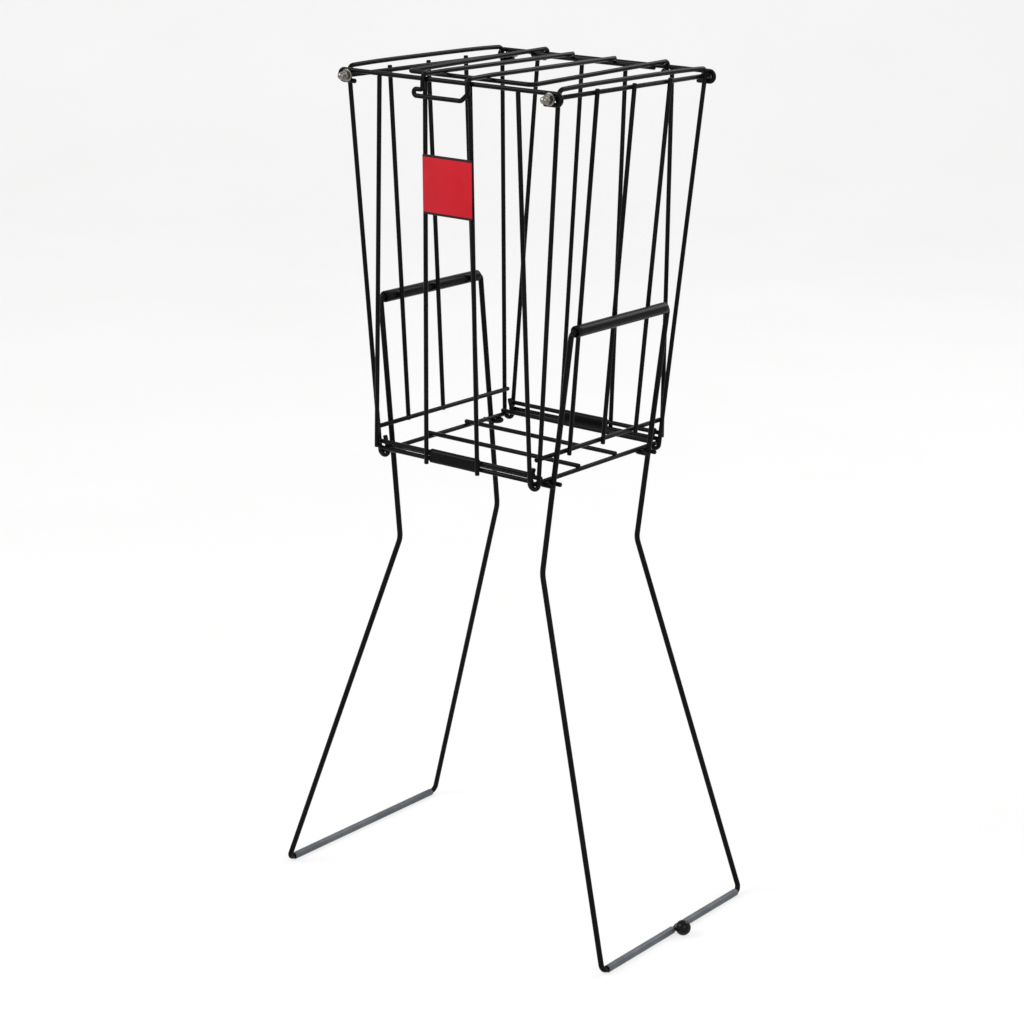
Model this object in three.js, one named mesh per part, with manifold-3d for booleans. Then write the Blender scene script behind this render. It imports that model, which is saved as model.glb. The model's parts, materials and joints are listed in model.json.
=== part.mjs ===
// Tennis ball hopper: a tapered wire basket on two folding leg loops that swing up to become its
// carrying handles, with a hinged wire lid and a sprung latch wire.
// Millimetres, +Z up. X runs across the basket between the leg loops, Y runs along their foot bars,
// and the latch side looks towards -Y. The origin is on the floor, under the middle of the whole object.

import * as THREE from 'three';
import { mergeVertices } from 'three/addons/utils/BufferGeometryUtils.js';
import Module from 'manifold-3d';

const wasm = await Module();
wasm.setup();

// Stock and fits
const basketWire = 4.5;
const legWire = 5.5;
const seatGap = 0.3;
const weldBite = 0.6;
const runningGap = 0.35;
const wireSides = 8;
const turnedSides = 16;

// Basket, measured on wire centrelines at the side rods and at the bottom of the corner hooks
const rodHeight = 840.6;
const halfWidthTop = 124.5;
const halfWidthBottom = 98.9;
const halfDepthTop = 118.6;
const halfDepthBottom = 100.7;
const hookHeight = 466;
const hookBendRadius = 5.3;
const hookTipRise = 15;
const hookTipLean = 4.6;

// Hairpin hooks at the ends of the front and back rims, and the washers and cap nuts on the side
// rods' ends
const rimHookRadius = 5;
const rimHookReach = 5.9;
const rimHookReturn = 14;
const washerDiameter = 12.2;
const washerThickness = 1.6;
const nutAcrossFlats = 8;
const nutHexHeight = 4.5;
const nutLength = 10.2;
const nutDomeDiameter = 7.4;
const nutRoof = 2.2;
const rodEndPlay = 0.8;

// Side panels
const sideTopRimRise = 8;
const sideTopRimBow = 1.3;
const sideTopRimBend = 6;
const sideRailRise = 29.7;
const sideRailOverrun = 1.5;
const sideBarSpreadTop = 59;
const sideBarSpreadBottom = 55.1;
const sideBarTopOverrun = 4;
const sideBarFootOverrun = 4;

// Front and back panels: upright places on the rim and at the rail
const outerBarTop = 82.5;
const outerBarBottom = 95.3;
const innerBarTop = 26.7;
const innerBarBottom = 31.6;
const panelRailRise = 15.3;
const outerBarFoot = 5.6;
const innerBarFoot = 11.4;
const panelRailOverrun = 2;

// Floor: two side wires hung in the corner hooks, cross rods on them that lie a little closer than
// a ball, and hairpin clips that keep the legs from swinging
const floorRodSpacing = 61;
const floorRodCount = 4;
const floorRodOverrun = 2;
const floorWireOverrun = 2;
const clipInboard = 88;
const clipOutboard = 106;

// Bands that clamp the floor to the panel rails
const bandThickness = 1.2;

// Leg hinge
const hingeHeight = 618.4;
const hingeTubeDiameter = 11.5;
const hingeTubeHalfLength = 74;
const legInsertion = 30;
const legShoulderBend = 5.4;

// Leg loops
const legHalfSpread = 79.4;
const kinkHeight = 375.4;
const kinkHalfWidth = 90.1;
const kinkBend = 24;
const footHalfWidth = 205.8;
const footHalfDepth = 122.1;
const footBend = 6.5;

// Foot grips, and the knob on a stud beside the right foot bar
const gripDiameter = 7.6;
const gripSides = 12;
const gripFrontSetback = 8;
const gripBackSetback = 7.2;
const knobDiameter = 16;
const knobPlace = 2.6;
const knobBareHalf = 4.2;
const knobStudDiameter = 4;
const knobStudReach = 1.5;
const knobBoreDepth = 10;

// Lid, measured from the back rim that it turns on
const lidHalfWidth = 74;
const lidReach = 214.6;
const lidDrop = 4.3;
const lidCornerBend = 6;
const lidCurlDegrees = 228;
const lidCrossPlace = 19.7;
const lidCrossOverrun = 1.5;

// Latch wire, measured from the rim that it snaps over
const latchHalfWidth = 25.7;
const latchRightShift = 2.6;
const latchTail = 3;
const latchShoulderBend = 4.6;
const latchLimbDrop = 9.6;
const latchTabReach = 10.4;
const latchTabBend = 3.1;
const latchBarDrop = 15.9;
const latchRampRun = 8;
const latchRampRise = 7;
const latchRampBend = 5;

// Name plate on the front
const plateWidth = 58.9;
const plateHeight = 57;
const plateThickness = 1;
const plateShift = 0.9;
const plateDrop = 93.5;
const plateCornerRadius = 1.5;

// Steps per bend and per closed turn
const bendStepAngle = Math.PI / 8;
const bandArcSteps = 6;

// Finishes
const powderBlack = new THREE.MeshStandardMaterial({ color: 0x121212, roughness: 0.3, metalness: 0.2 });
const zincPlate = new THREE.MeshStandardMaterial({ color: 0xb9b9b4, roughness: 0.3, metalness: 0.9 });
const gripGrey = new THREE.MeshStandardMaterial({ color: 0x5c626a, roughness: 0.6, metalness: 0 });
const knobBlack = new THREE.MeshStandardMaterial({ color: 0x0d0d0e, roughness: 0.2, metalness: 0 });
const plateRed = new THREE.MeshStandardMaterial({ color: 0xc3202b, roughness: 0.35, metalness: 0 });

// Sizes that follow from the ones above
const wirePitch = basketWire + seatGap;
const weldPitch = basketWire - weldBite;
const rimHeight = rodHeight + rimHookRadius;
const plateCentreHeight = rodHeight - plateDrop;
const sideRailHeight = hookHeight + sideRailRise;
const panelRailHeight = hookHeight + panelRailRise;
const rimDepth = cornerY(rimHeight) + wirePitch;
const panelDepthBottom = halfDepthBottom + 2 * wirePitch;
const floorDepth = halfDepthBottom + wirePitch;
const floorHalfWidth = halfWidthBottom - hookBendRadius;
const floorHeight = hookHeight + wirePitch;
const floorRodHeight = floorHeight + weldPitch;
const rodHalfWidth = halfWidthTop - weldPitch;
const hingeHalfWidth = sideX(hingeHeight) + basketWire / 2 + seatGap + hingeTubeDiameter / 2;
const washerFace = basketWire / 2 + seatGap;
const nutFace = washerFace + washerThickness + seatGap;

// The knob sits outside the right foot bar, clear of the bare wire, and touches the floor
const knobStandoff = knobDiameter / 2 + legWire / 2 + seatGap;
const knobTilt = Math.asin((knobDiameter - gripDiameter) / 2 / knobStandoff);

// X of a side panel's plane at a height
function sideX(height) {
  const share = (rodHeight - height) / (rodHeight - hookHeight);
  return halfWidthTop + (halfWidthBottom - halfWidthTop) * share;
}

// Distance from the middle, along Y, of a corner wire at a height
function cornerY(height) {
  const share = (rodHeight - height) / (rodHeight - hookHeight);
  return halfDepthTop + (halfDepthBottom - halfDepthTop) * share;
}

// Distance from the middle, along Y, of the front and back panels' uprights at a height
function panelY(height) {
  const share = (rimHeight - height) / (rimHeight - panelRailHeight);
  return rimDepth + (panelDepthBottom - rimDepth) * share;
}

// Distance from the middle, along X, of a panel upright at a height
function barX(top, bottom, height) {
  return top + ((bottom - top) * (rimHeight - height)) / (rimHeight - panelRailHeight);
}

function point(x, y, z) {
  return new THREE.Vector3(x, y, z);
}

// A wire's centreline: it passes through the given points, with mitred sections between its runs
class WirePath extends THREE.Curve {
  constructor(points) {
    super();
    this.points = points;
  }

  getPoint(t, target = new THREE.Vector3()) {
    const run = t * (this.points.length - 1);
    const index = Math.min(Math.floor(run), this.points.length - 2);
    return target.lerpVectors(this.points[index], this.points[index + 1], run - index);
  }

  getPointAt(u, target) {
    return this.getPoint(u, target);
  }

  getTangentAt(u, target = new THREE.Vector3()) {
    const last = this.points.length - 1;
    const index = Math.round(u * last);
    const here = this.points[index];
    const before = this.points[Math.max(index - 1, 0)];
    const after = this.points[Math.min(index + 1, last)];
    const incoming = here.clone().sub(before).normalize();
    const outgoing = after.clone().sub(here).normalize();
    return target.addVectors(incoming, outgoing).normalize();
  }
}

// Points of a bent wire: each inner corner is replaced by an arc of its bend radius
function bend(corners, radii) {
  const points = [corners[0]];
  for (let i = 1; i < corners.length - 1; i += 1) {
    const back = corners[i - 1].clone().sub(corners[i]).normalize();
    const ahead = corners[i + 1].clone().sub(corners[i]).normalize();
    const radius = Array.isArray(radii) ? radii[i - 1] : radii;
    const turn = Math.PI - back.angleTo(ahead);
    const setback = radius * Math.tan(turn / 2);
    const inward = back.clone().add(ahead).normalize();
    const centre = corners[i].clone().addScaledVector(inward, radius / Math.cos(turn / 2));
    const start = corners[i].clone().addScaledVector(back, setback).sub(centre);
    const axis = back.clone().cross(ahead).normalize();
    const steps = Math.max(2, Math.ceil(turn / bendStepAngle));
    for (let step = 0; step <= steps; step += 1) {
      const spoke = start.clone().applyAxisAngle(axis, (-turn * step) / steps);
      points.push(centre.clone().add(spoke));
    }
  }
  points.push(corners[corners.length - 1]);
  return points;
}

// A round wire, as a regular prism swept along its centreline
function wire(points, diameter = basketWire) {
  const section = new THREE.Shape();
  for (let side = 0; side < wireSides; side += 1) {
    const angle = ((side + 1 / 2) * 2 * Math.PI) / wireSides;
    const x = (diameter / 2) * Math.cos(angle);
    const y = (diameter / 2) * Math.sin(angle);
    if (side === 0) section.moveTo(x, y);
    else section.lineTo(x, y);
  }
  const extrudePath = new WirePath(points);
  return new THREE.ExtrudeGeometry(section, { steps: points.length - 1, extrudePath });
}

function toManifold(geometry) {
  const bare = geometry.clone();
  bare.deleteAttribute('normal');
  bare.deleteAttribute('uv');
  const merged = mergeVertices(bare);
  const vertProperties = new Float32Array(merged.attributes.position.array);
  const triVerts = new Uint32Array(merged.index.array);
  return new wasm.Manifold(new wasm.Mesh({ numProp: 3, vertProperties, triVerts }));
}

function toGeometry(solid) {
  const mesh = solid.getMesh();
  const geometry = new THREE.BufferGeometry();
  geometry.setAttribute('position', new THREE.BufferAttribute(new Float32Array(mesh.vertProperties), 3));
  geometry.setIndex(new THREE.BufferAttribute(new Uint32Array(mesh.triVerts), 1));
  const flat = geometry.toNonIndexed();
  flat.computeVertexNormals();
  return flat;
}

// Welds wires into one solid
function weld(geometries) {
  const solids = geometries.map(toManifold);
  return toGeometry(solids.reduce((whole, next) => whole.add(next)));
}

// A turned piece round the Y axis, from points of [radius, place along Y] that close on themselves
function turned(profile, sides = turnedSides, start = 0) {
  const closed = [...profile, profile[0]].map(([radius, along]) => new THREE.Vector2(radius, along));
  return new THREE.LatheGeometry(closed, sides, start);
}

function named(name, geometry, material) {
  const mesh = new THREE.Mesh(geometry, material);
  mesh.name = name;
  return mesh;
}

// Front panel: a rim whose ends hook round the side rods, and four uprights butted under it
function panelGeometry() {
  const pieces = [wire([...rimHookPoints(-1), ...rimHookPoints(1).reverse()])];
  for (const side of [-1, 1]) {
    pieces.push(panelBar(side, outerBarTop, outerBarBottom, panelRailHeight - outerBarFoot));
    pieces.push(panelBar(side, innerBarTop, innerBarBottom, panelRailHeight - innerBarFoot));
  }
  return weld(pieces);
}

// Straight rail that lies behind the front uprights near their feet
function panelRailGeometry() {
  const end = outerBarBottom + panelRailOverrun;
  const y = wirePitch - panelY(panelRailHeight);
  return wire([point(-end, y, panelRailHeight), point(end, y, panelRailHeight)]);
}

// Centreline of a hook in the panel's plane: from its cut end under the rod, out and round to the
// rim above it
function rimHookPoints(side) {
  const bendX = rodHalfWidth + rimHookReach;
  const points = [point(side * (bendX - rimHookReturn), -rimDepth, rodHeight - rimHookRadius)];
  const steps = Math.round(Math.PI / bendStepAngle);
  for (let step = steps; step >= 0; step -= 1) {
    const angle = (Math.PI * step) / steps;
    const x = side * (bendX + rimHookRadius * Math.sin(angle));
    points.push(point(x, -rimDepth, rodHeight + rimHookRadius * Math.cos(angle)));
  }
  return points;
}

function panelBar(side, top, bottom, footHeight) {
  const headHeight = rimHeight - basketWire / 2 + weldBite;
  const head = point(side * barX(top, bottom, headHeight), -panelY(headHeight), headHeight);
  const foot = point(side * barX(top, bottom, footHeight), -panelY(footHeight), footHeight);
  return wire([head, foot]);
}

// Right side panel: one wire bent into both corner wires and the top rim, ending in the two floor
// hooks, with three bars in its plane, and behind them a rail and the rod whose ends carry the nuts
function sidePanelGeometry() {
  const pieces = [wire(sideLoopPoints())];
  const rodEnd = rimDepth + nutFace + nutLength - nutRoof - rodEndPlay;
  pieces.push(sideRail(rodHeight, rodEnd));
  pieces.push(sideRail(sideRailHeight, cornerY(sideRailHeight) + sideRailOverrun));
  const barTop = rodHeight + sideBarTopOverrun;
  const barFoot = sideRailHeight - sideBarFootOverrun;
  for (const place of [-1, 0, 1]) {
    const head = point(sideX(barTop), place * sideBarSpreadTop, barTop);
    const foot = point(sideX(barFoot), place * sideBarSpreadBottom, barFoot);
    pieces.push(wire([head, foot]));
  }
  return weld(pieces);
}

// A wire along the side panel, welded to its bars from inside
function sideRail(height, reach) {
  const x = sideX(height) - weldPitch;
  return wire([point(x, -reach, height), point(x, reach, height)]);
}

// Centreline of the side panel's long wire, from one hook's tip to the other's
function sideLoopPoints() {
  const topHeight = rodHeight + sideTopRimRise;
  const topX = sideX(topHeight);
  const corner = cornerY(topHeight);
  const bowEnd = corner / 2;
  const front = [...hookPoints(-1), point(topX, -corner, topHeight)];
  const bow = [
    point(topX, -bowEnd, topHeight + sideTopRimBow),
    point(topX, bowEnd, topHeight + sideTopRimBow),
  ];
  const back = [point(topX, corner, topHeight), ...hookPoints(1).reverse()];
  const arcs = [...front, ...bow, ...back];
  const radii = arcs.slice(1, -1).map((corners) => (corners.z > rodHeight ? sideTopRimBend : 0));
  return bendMarked(arcs, radii);
}

// Like bend, but a corner with no radius stays a single point
function bendMarked(corners, radii) {
  const points = [corners[0]];
  for (let i = 1; i < corners.length - 1; i += 1) {
    if (radii[i - 1] > 0) points.push(...bend(corners.slice(i - 1, i + 2), radii[i - 1]).slice(1, -1));
    else points.push(corners[i]);
  }
  points.push(corners[corners.length - 1]);
  return points;
}

// A floor hook, from its tip round the bottom: it lies across the basket and opens upwards
function hookPoints(end) {
  const y = end * halfDepthBottom;
  const centreX = halfWidthBottom - hookBendRadius;
  const centreZ = hookHeight + hookBendRadius;
  const tip = point(centreX - hookBendRadius + hookTipLean, y, centreZ + hookTipRise);
  const points = [tip];
  const steps = Math.round(Math.PI / bendStepAngle);
  for (let step = 0; step <= steps; step += 1) {
    const angle = Math.PI + (Math.PI * step) / steps;
    const x = centreX + hookBendRadius * Math.cos(angle);
    points.push(point(x, y, centreZ + hookBendRadius * Math.sin(angle)));
  }
  return points;
}

// Floor: two side wires, a cross rod at each end and the inner ones on top of them, clips below
function floorGeometry() {
  const pieces = [];
  const rodPlaces = [-floorDepth, floorDepth];
  for (let rod = 0; rod < floorRodCount; rod += 1) {
    rodPlaces.push((rod - (floorRodCount - 1) / 2) * floorRodSpacing);
  }
  const rodEnd = floorHalfWidth + floorRodOverrun;
  for (const y of rodPlaces) {
    pieces.push(wire([point(-rodEnd, y, floorRodHeight), point(rodEnd, y, floorRodHeight)]));
  }
  const wireEnd = floorDepth + floorWireOverrun;
  for (const side of [-1, 1]) {
    const x = side * floorHalfWidth;
    pieces.push(wire([point(x, -wireEnd, floorHeight), point(x, wireEnd, floorHeight)]));
    for (const end of [-1, 1]) {
      pieces.push(clip(side, end));
    }
  }
  return weld(pieces);
}

// A hairpin under the floor's side wire, open outwards, with a leg upright between its prongs
function clip(side, end) {
  const height = floorHeight - weldPitch;
  const half = legWire / 2 + seatGap + basketWire / 2;
  const middle = end * legHalfSpread;
  const corners = [
    point(side * clipOutboard, middle - half, height),
    point(side * clipInboard, middle - half, height),
    point(side * clipInboard, middle + half, height),
    point(side * clipOutboard, middle + half, height),
  ];
  return wire(bend(corners, half - weldBite / 2));
}

// A band bent flat round the front rail and the floor rod below it, between the inner uprights
function bandGeometry() {
  const upper = { along: wirePitch - panelY(panelRailHeight), height: panelRailHeight };
  const lower = { along: -floorDepth, height: floorRodHeight };
  const inner = basketWire / 2 + seatGap;
  const outline = stadium(upper, lower, inner + bandThickness);
  outline.holes.push(stadium(upper, lower, inner));
  const half = barX(innerBarTop, innerBarBottom, panelRailHeight) - basketWire / 2 - seatGap;
  const geometry = new THREE.ExtrudeGeometry(outline, { depth: 2 * half, bevelEnabled: false });
  const toWorld = new THREE.Matrix4().makeBasis(point(0, 1, 0), point(0, 0, 1), point(1, 0, 0));
  return geometry.applyMatrix4(toWorld).translate(-half, 0, 0);
}

// The outline round two circles of one radius, in the plane of Y and Z
function stadium(upper, lower, radius) {
  const tilt = Math.atan2(upper.height - lower.height, upper.along - lower.along);
  const outline = new THREE.Shape();
  for (let step = 0; step <= 2 * bandArcSteps + 1; step += 1) {
    const atUpper = step <= bandArcSteps;
    const centre = atUpper ? upper : lower;
    const turn = atUpper ? step : step - 1;
    const angle = tilt - Math.PI / 2 + (Math.PI * turn) / bandArcSteps;
    const along = centre.along + radius * Math.cos(angle);
    const height = centre.height + radius * Math.sin(angle);
    if (step === 0) outline.moveTo(along, height);
    else outline.lineTo(along, height);
  }
  return outline;
}

// A turned solid whose profile starts and ends on its axis
function solidTurned(profile) {
  const points = profile.map(([radius, along]) => new THREE.Vector2(radius, along));
  return new THREE.LatheGeometry(points, turnedSides);
}

// Washer on a rod's end, measured along +Y from the rim hook's plane
function washerGeometry() {
  const bore = basketWire / 2 + seatGap;
  const rim = washerDiameter / 2;
  const profile = [
    [bore, washerFace],
    [rim, washerFace],
    [rim, washerFace + washerThickness],
    [bore, washerFace + washerThickness],
  ];
  return turned(profile);
}

// Cap nut: a hexagon with a domed top and a blind bore for the rod, measured like the washer
function nutGeometry() {
  const hexRadius = nutAcrossFlats / Math.sqrt(3);
  const hex = new THREE.CylinderGeometry(hexRadius, hexRadius, nutHexHeight, 6);
  hex.translate(0, nutFace + nutHexHeight / 2, 0);
  const dome = nutDomeDiameter / 2;
  const shoulder = nutFace + nutLength - dome;
  const domeSteps = 4;
  const profile = [[0, nutFace + nutHexHeight / 2], [dome, nutFace + nutHexHeight / 2]];
  for (let step = 0; step <= domeSteps; step += 1) {
    const angle = (Math.PI / 2) * (step / domeSteps);
    profile.push([step === domeSteps ? 0 : dome * Math.cos(angle), shoulder + dome * Math.sin(angle)]);
  }
  const boreRadius = basketWire / 2 + seatGap;
  const boreDepth = nutLength - nutRoof + seatGap;
  const bore = new THREE.CylinderGeometry(boreRadius, boreRadius, boreDepth, turnedSides);
  bore.translate(0, nutFace - seatGap + boreDepth / 2, 0);
  const body = toManifold(hex).add(toManifold(solidTurned(profile)));
  return toGeometry(body.subtract(toManifold(bore)));
}

// Right hinge tube, welded outside the side panel's three bars
function hingeTubeGeometry() {
  const outer = hingeTubeDiameter / 2;
  const bore = legWire / 2 + runningGap;
  const profile = [
    [bore, -hingeTubeHalfLength],
    [outer, -hingeTubeHalfLength],
    [outer, hingeTubeHalfLength],
    [bore, hingeTubeHalfLength],
  ];
  return turned(profile);
}

// Right leg loop, measured from its hinge: ends inside the tube, down the upright to the kink,
// out to the foot, along the foot bar and back up the other side
function legGeometry(footHeight) {
  const insert = hingeTubeHalfLength - legInsertion;
  const kink = { x: kinkHalfWidth - hingeHalfWidth, z: kinkHeight - hingeHeight };
  const foot = { x: footHalfWidth - hingeHalfWidth, z: footHeight - hingeHeight };
  const half = (end) => [
    point(0, end * insert, 0),
    point(0, end * legHalfSpread, 0),
    point(kink.x, end * legHalfSpread, kink.z),
    point(foot.x, end * footHalfDepth, foot.z),
  ];
  const corners = [...half(-1), ...half(1).reverse()];
  const radii = [legShoulderBend, kinkBend, footBend, footBend, kinkBend, legShoulderBend];
  return wire(bend(corners, radii), legWire);
}

// Turns a piece that was laid along +Y from a foot bar's axis to the knob's direction
function towardsKnob(geometry) {
  return geometry.rotateZ(-Math.PI / 2).rotateY(-knobTilt);
}

// Stud welded to the right foot bar, measured from the bar's axis
function studGeometry() {
  const length = knobStandoff + knobStudReach;
  const stud = new THREE.CylinderGeometry(knobStudDiameter / 2, knobStudDiameter / 2, length, wireSides);
  stud.translate(0, length / 2, 0);
  return towardsKnob(stud);
}

// Ball knob with a blind bore for the stud, measured from the bar's axis
function knobGeometry() {
  const radius = knobDiameter / 2;
  const bore = knobStudDiameter / 2 + seatGap;
  const mouth = Math.asin(bore / radius);
  const arcSteps = 9;
  const floorOfBore = knobStandoff - radius + knobBoreDepth;
  const profile = [[0, floorOfBore], [bore, floorOfBore]];
  for (let step = 0; step <= arcSteps; step += 1) {
    const angle = mouth + ((Math.PI - mouth) * step) / arcSteps;
    const along = knobStandoff - radius * Math.cos(angle);
    profile.push([step === arcSteps ? 0 : radius * Math.sin(angle), along]);
  }
  return towardsKnob(solidTurned(profile));
}

// A sleeve on a foot bar, from one place along Y to another, with a flat side downwards
function gripGeometry(from, to) {
  const bore = legWire / 2 + seatGap;
  const outer = gripDiameter / 2 / Math.cos(Math.PI / gripSides);
  const profile = [
    [bore, from],
    [outer, from],
    [outer, to],
    [bore, to],
  ];
  return turned(profile, gripSides, Math.PI / gripSides);
}

// Lid frame, measured from the back rim: one wire curled round the rim at both ends, with a cross
// wire welded under it near the hinge
function lidGeometry() {
  const curl = THREE.MathUtils.degToRad(lidCurlDegrees);
  const steps = Math.ceil(curl / bendStepAngle);
  const curlPoints = (side) => {
    const points = [];
    for (let step = steps; step >= 0; step -= 1) {
      const angle = Math.PI / 2 - (curl * step) / steps;
      points.push(point(side * lidHalfWidth, wirePitch * Math.cos(angle), wirePitch * Math.sin(angle)));
    }
    return points;
  };
  const frontHeight = wirePitch - lidDrop;
  const frontCorners = [
    point(-lidHalfWidth, 0, wirePitch),
    point(-lidHalfWidth, -lidReach, frontHeight),
    point(lidHalfWidth, -lidReach, frontHeight),
    point(lidHalfWidth, 0, wirePitch),
  ];
  const front = bend(frontCorners, lidCornerBend);
  const loop = [...curlPoints(-1), ...front.slice(1, -1), ...curlPoints(1).reverse()];
  const crossHeight = lidCrossHeight();
  const crossEnd = lidHalfWidth + lidCrossOverrun;
  const cross = [-crossEnd, crossEnd].map((x) => point(x, -lidCrossPlace, crossHeight));
  return weld([wire(loop), wire(cross)]);
}

function lidCrossHeight() {
  return wirePitch - (lidDrop * lidCrossPlace) / lidReach - weldPitch;
}

// Latch wire, measured from the back rim: two limbs run over the lid and the front rim, down to a
// thumb tab on the left, a bar under the rim and a ramp up to the right limb
function latchGeometry() {
  const frontPlane = -2 * rimDepth - wirePitch;
  const tailPlace = latchTail - lidCrossPlace;
  const tailHeight = lidCrossHeight() + wirePitch;
  const lidFront = wirePitch - lidDrop + wirePitch;
  const left = -latchHalfWidth;
  const right = latchHalfWidth + latchRightShift;
  const tabEnd = left - latchTabReach;
  const corners = [
    point(left, tailPlace, tailHeight),
    point(left, -lidReach, lidFront),
    point(left, frontPlane, wirePitch),
    point(left, frontPlane, -latchLimbDrop),
    point(tabEnd, frontPlane, -latchLimbDrop),
    point(tabEnd, frontPlane, -latchBarDrop),
    point(right - latchRampRun, frontPlane, -latchBarDrop),
    point(right, frontPlane, latchRampRise - latchBarDrop),
    point(right, frontPlane, wirePitch),
    point(latchHalfWidth, -lidReach, lidFront),
    point(latchHalfWidth, tailPlace, tailHeight),
  ];
  const soft = basketWire;
  const radii = [
    soft,
    latchShoulderBend,
    latchTabBend,
    latchTabBend,
    latchTabBend,
    latchRampBend,
    latchRampBend,
    latchShoulderBend,
    soft,
  ];
  return wire(bend(corners, radii));
}

// Name plate: a thin sheet with slightly rounded corners, blank, leaning with the front bars
function plateGeometry() {
  const half = { x: plateWidth / 2, y: plateHeight / 2 };
  const inner = { x: half.x - plateCornerRadius, y: half.y - plateCornerRadius };
  const outline = new THREE.Shape();
  outline.moveTo(-inner.x, -half.y);
  outline.lineTo(inner.x, -half.y);
  outline.absarc(inner.x, -inner.y, plateCornerRadius, -Math.PI / 2, 0, false);
  outline.absarc(inner.x, inner.y, plateCornerRadius, 0, Math.PI / 2, false);
  outline.absarc(-inner.x, inner.y, plateCornerRadius, Math.PI / 2, Math.PI, false);
  outline.absarc(-inner.x, -inner.y, plateCornerRadius, Math.PI, (3 * Math.PI) / 2, false);
  const options = { depth: plateThickness, bevelEnabled: false, curveSegments: 3 };
  return new THREE.ExtrudeGeometry(outline, options);
}

// The knob reaches past the left grip by this much, so the middle of the whole object lies off the
// basket's middle
const knobOverhang = knobStandoff * Math.cos(knobTilt) + (knobDiameter - gripDiameter) / 2;
const hopper = new THREE.Group();
hopper.position.x = -knobOverhang / 2;

// The back half of the basket's frame is the front half turned round the upright axis
const panel = panelGeometry();
const panelRail = panelRailGeometry();
const sidePanel = sidePanelGeometry();
const band = bandGeometry();
const hingeTube = hingeTubeGeometry();
const washer = washerGeometry();
const nut = nutGeometry();
for (const half of [
  { end: 'front', side: 'right', turn: 0, corners: ['left', 'right'] },
  { end: 'back', side: 'left', turn: Math.PI, corners: ['right', 'left'] },
]) {
  const frame = new THREE.Group();
  frame.rotation.z = half.turn;
  hopper.add(frame);
  frame.add(named(`${half.end}_panel`, panel, powderBlack));
  frame.add(named(`${half.end}_rail`, panelRail, powderBlack));
  frame.add(named(`${half.side}_side_panel`, sidePanel, powderBlack));
  frame.add(named(`${half.end}_floor_band`, band, powderBlack));
  const tube = named(`${half.side}_hinge_tube`, hingeTube, powderBlack);
  tube.position.set(hingeHalfWidth, 0, hingeHeight);
  frame.add(tube);
  for (const [index, corner] of half.corners.entries()) {
    const fastening = new THREE.Group();
    fastening.position.set((2 * index - 1) * rodHalfWidth, -rimDepth, rodHeight);
    fastening.rotation.z = Math.PI;
    fastening.add(named(`corner_washer_${half.end}_${corner}`, washer, zincPlate));
    fastening.add(named(`corner_cap_nut_${half.end}_${corner}`, nut, zincPlate));
    frame.add(fastening);
  }
}

hopper.add(named('floor_grid', floorGeometry(), powderBlack));

// The plate lies on the two inner bars of the front panel
const lean = Math.atan2(rimDepth - panelDepthBottom, rimHeight - panelRailHeight);
const plate = named('name_plate', plateGeometry(), plateRed);
plate.rotation.x = Math.PI / 2 + lean;
const plateStandoff = (basketWire / 2 + seatGap) / Math.cos(lean);
plate.position.set(plateShift, -panelY(plateCentreHeight) - plateStandoff, plateCentreHeight);
hopper.add(plate);

// Lid and latch turn together round the back rim
const lid = new THREE.Group();
lid.position.set(0, rimDepth, rimHeight);
lid.add(named('lid_frame', lidGeometry(), powderBlack));
lid.add(named('lid_latch_wire', latchGeometry(), powderBlack));
hopper.add(lid);

// Leg loops, with the stud for the knob welded to the right one's foot bar
const footHeight = gripDiameter / 2;
const gripFront = -footHalfDepth + gripFrontSetback;
const gripBack = footHalfDepth - gripBackSetback;

const rightLeg = new THREE.Group();
rightLeg.position.set(hingeHalfWidth, 0, hingeHeight);
const stud = studGeometry();
stud.translate(footHalfWidth - hingeHalfWidth, knobPlace, footHeight - hingeHeight);
rightLeg.add(named('right_leg_loop', weld([legGeometry(footHeight), stud]), powderBlack));
hopper.add(rightLeg);

const rightBar = new THREE.Group();
rightBar.position.set(footHalfWidth, 0, footHeight);
rightBar.add(named('right_front_grip', gripGeometry(gripFront, knobPlace - knobBareHalf), gripGrey));
rightBar.add(named('right_back_grip', gripGeometry(knobPlace + knobBareHalf, gripBack), gripGrey));
const knob = named('right_handle_knob', knobGeometry(), knobBlack);
knob.position.y = knobPlace;
rightBar.add(knob);
hopper.add(rightBar);

const leftLeg = new THREE.Group();
leftLeg.position.set(-hingeHalfWidth, 0, hingeHeight);
leftLeg.rotation.z = Math.PI;
leftLeg.add(named('left_leg_loop', legGeometry(footHeight), powderBlack));
hopper.add(leftLeg);

const leftGrip = named('left_grip', gripGeometry(gripFront, gripBack), gripGrey);
leftGrip.position.set(-footHalfWidth, 0, footHeight);
hopper.add(leftGrip);

export default hopper;
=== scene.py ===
"""Looks of a wire basket hopper on two folding leg loops, in metres, +Z up, in the CAD frame.

Every bent or welded wire is swept again with a round section, smooth bends and small weld beads at the
places that the CAD solids hold, and every surface gets a procedural finish. Sizes are in millimetres.
"""

import json
import logging
import math
from collections.abc import Sequence
from dataclasses import dataclass, field
from enum import Enum
from typing import NamedTuple

import bmesh
import bpy
import numpy as np
from mathutils import Matrix, Vector

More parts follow.
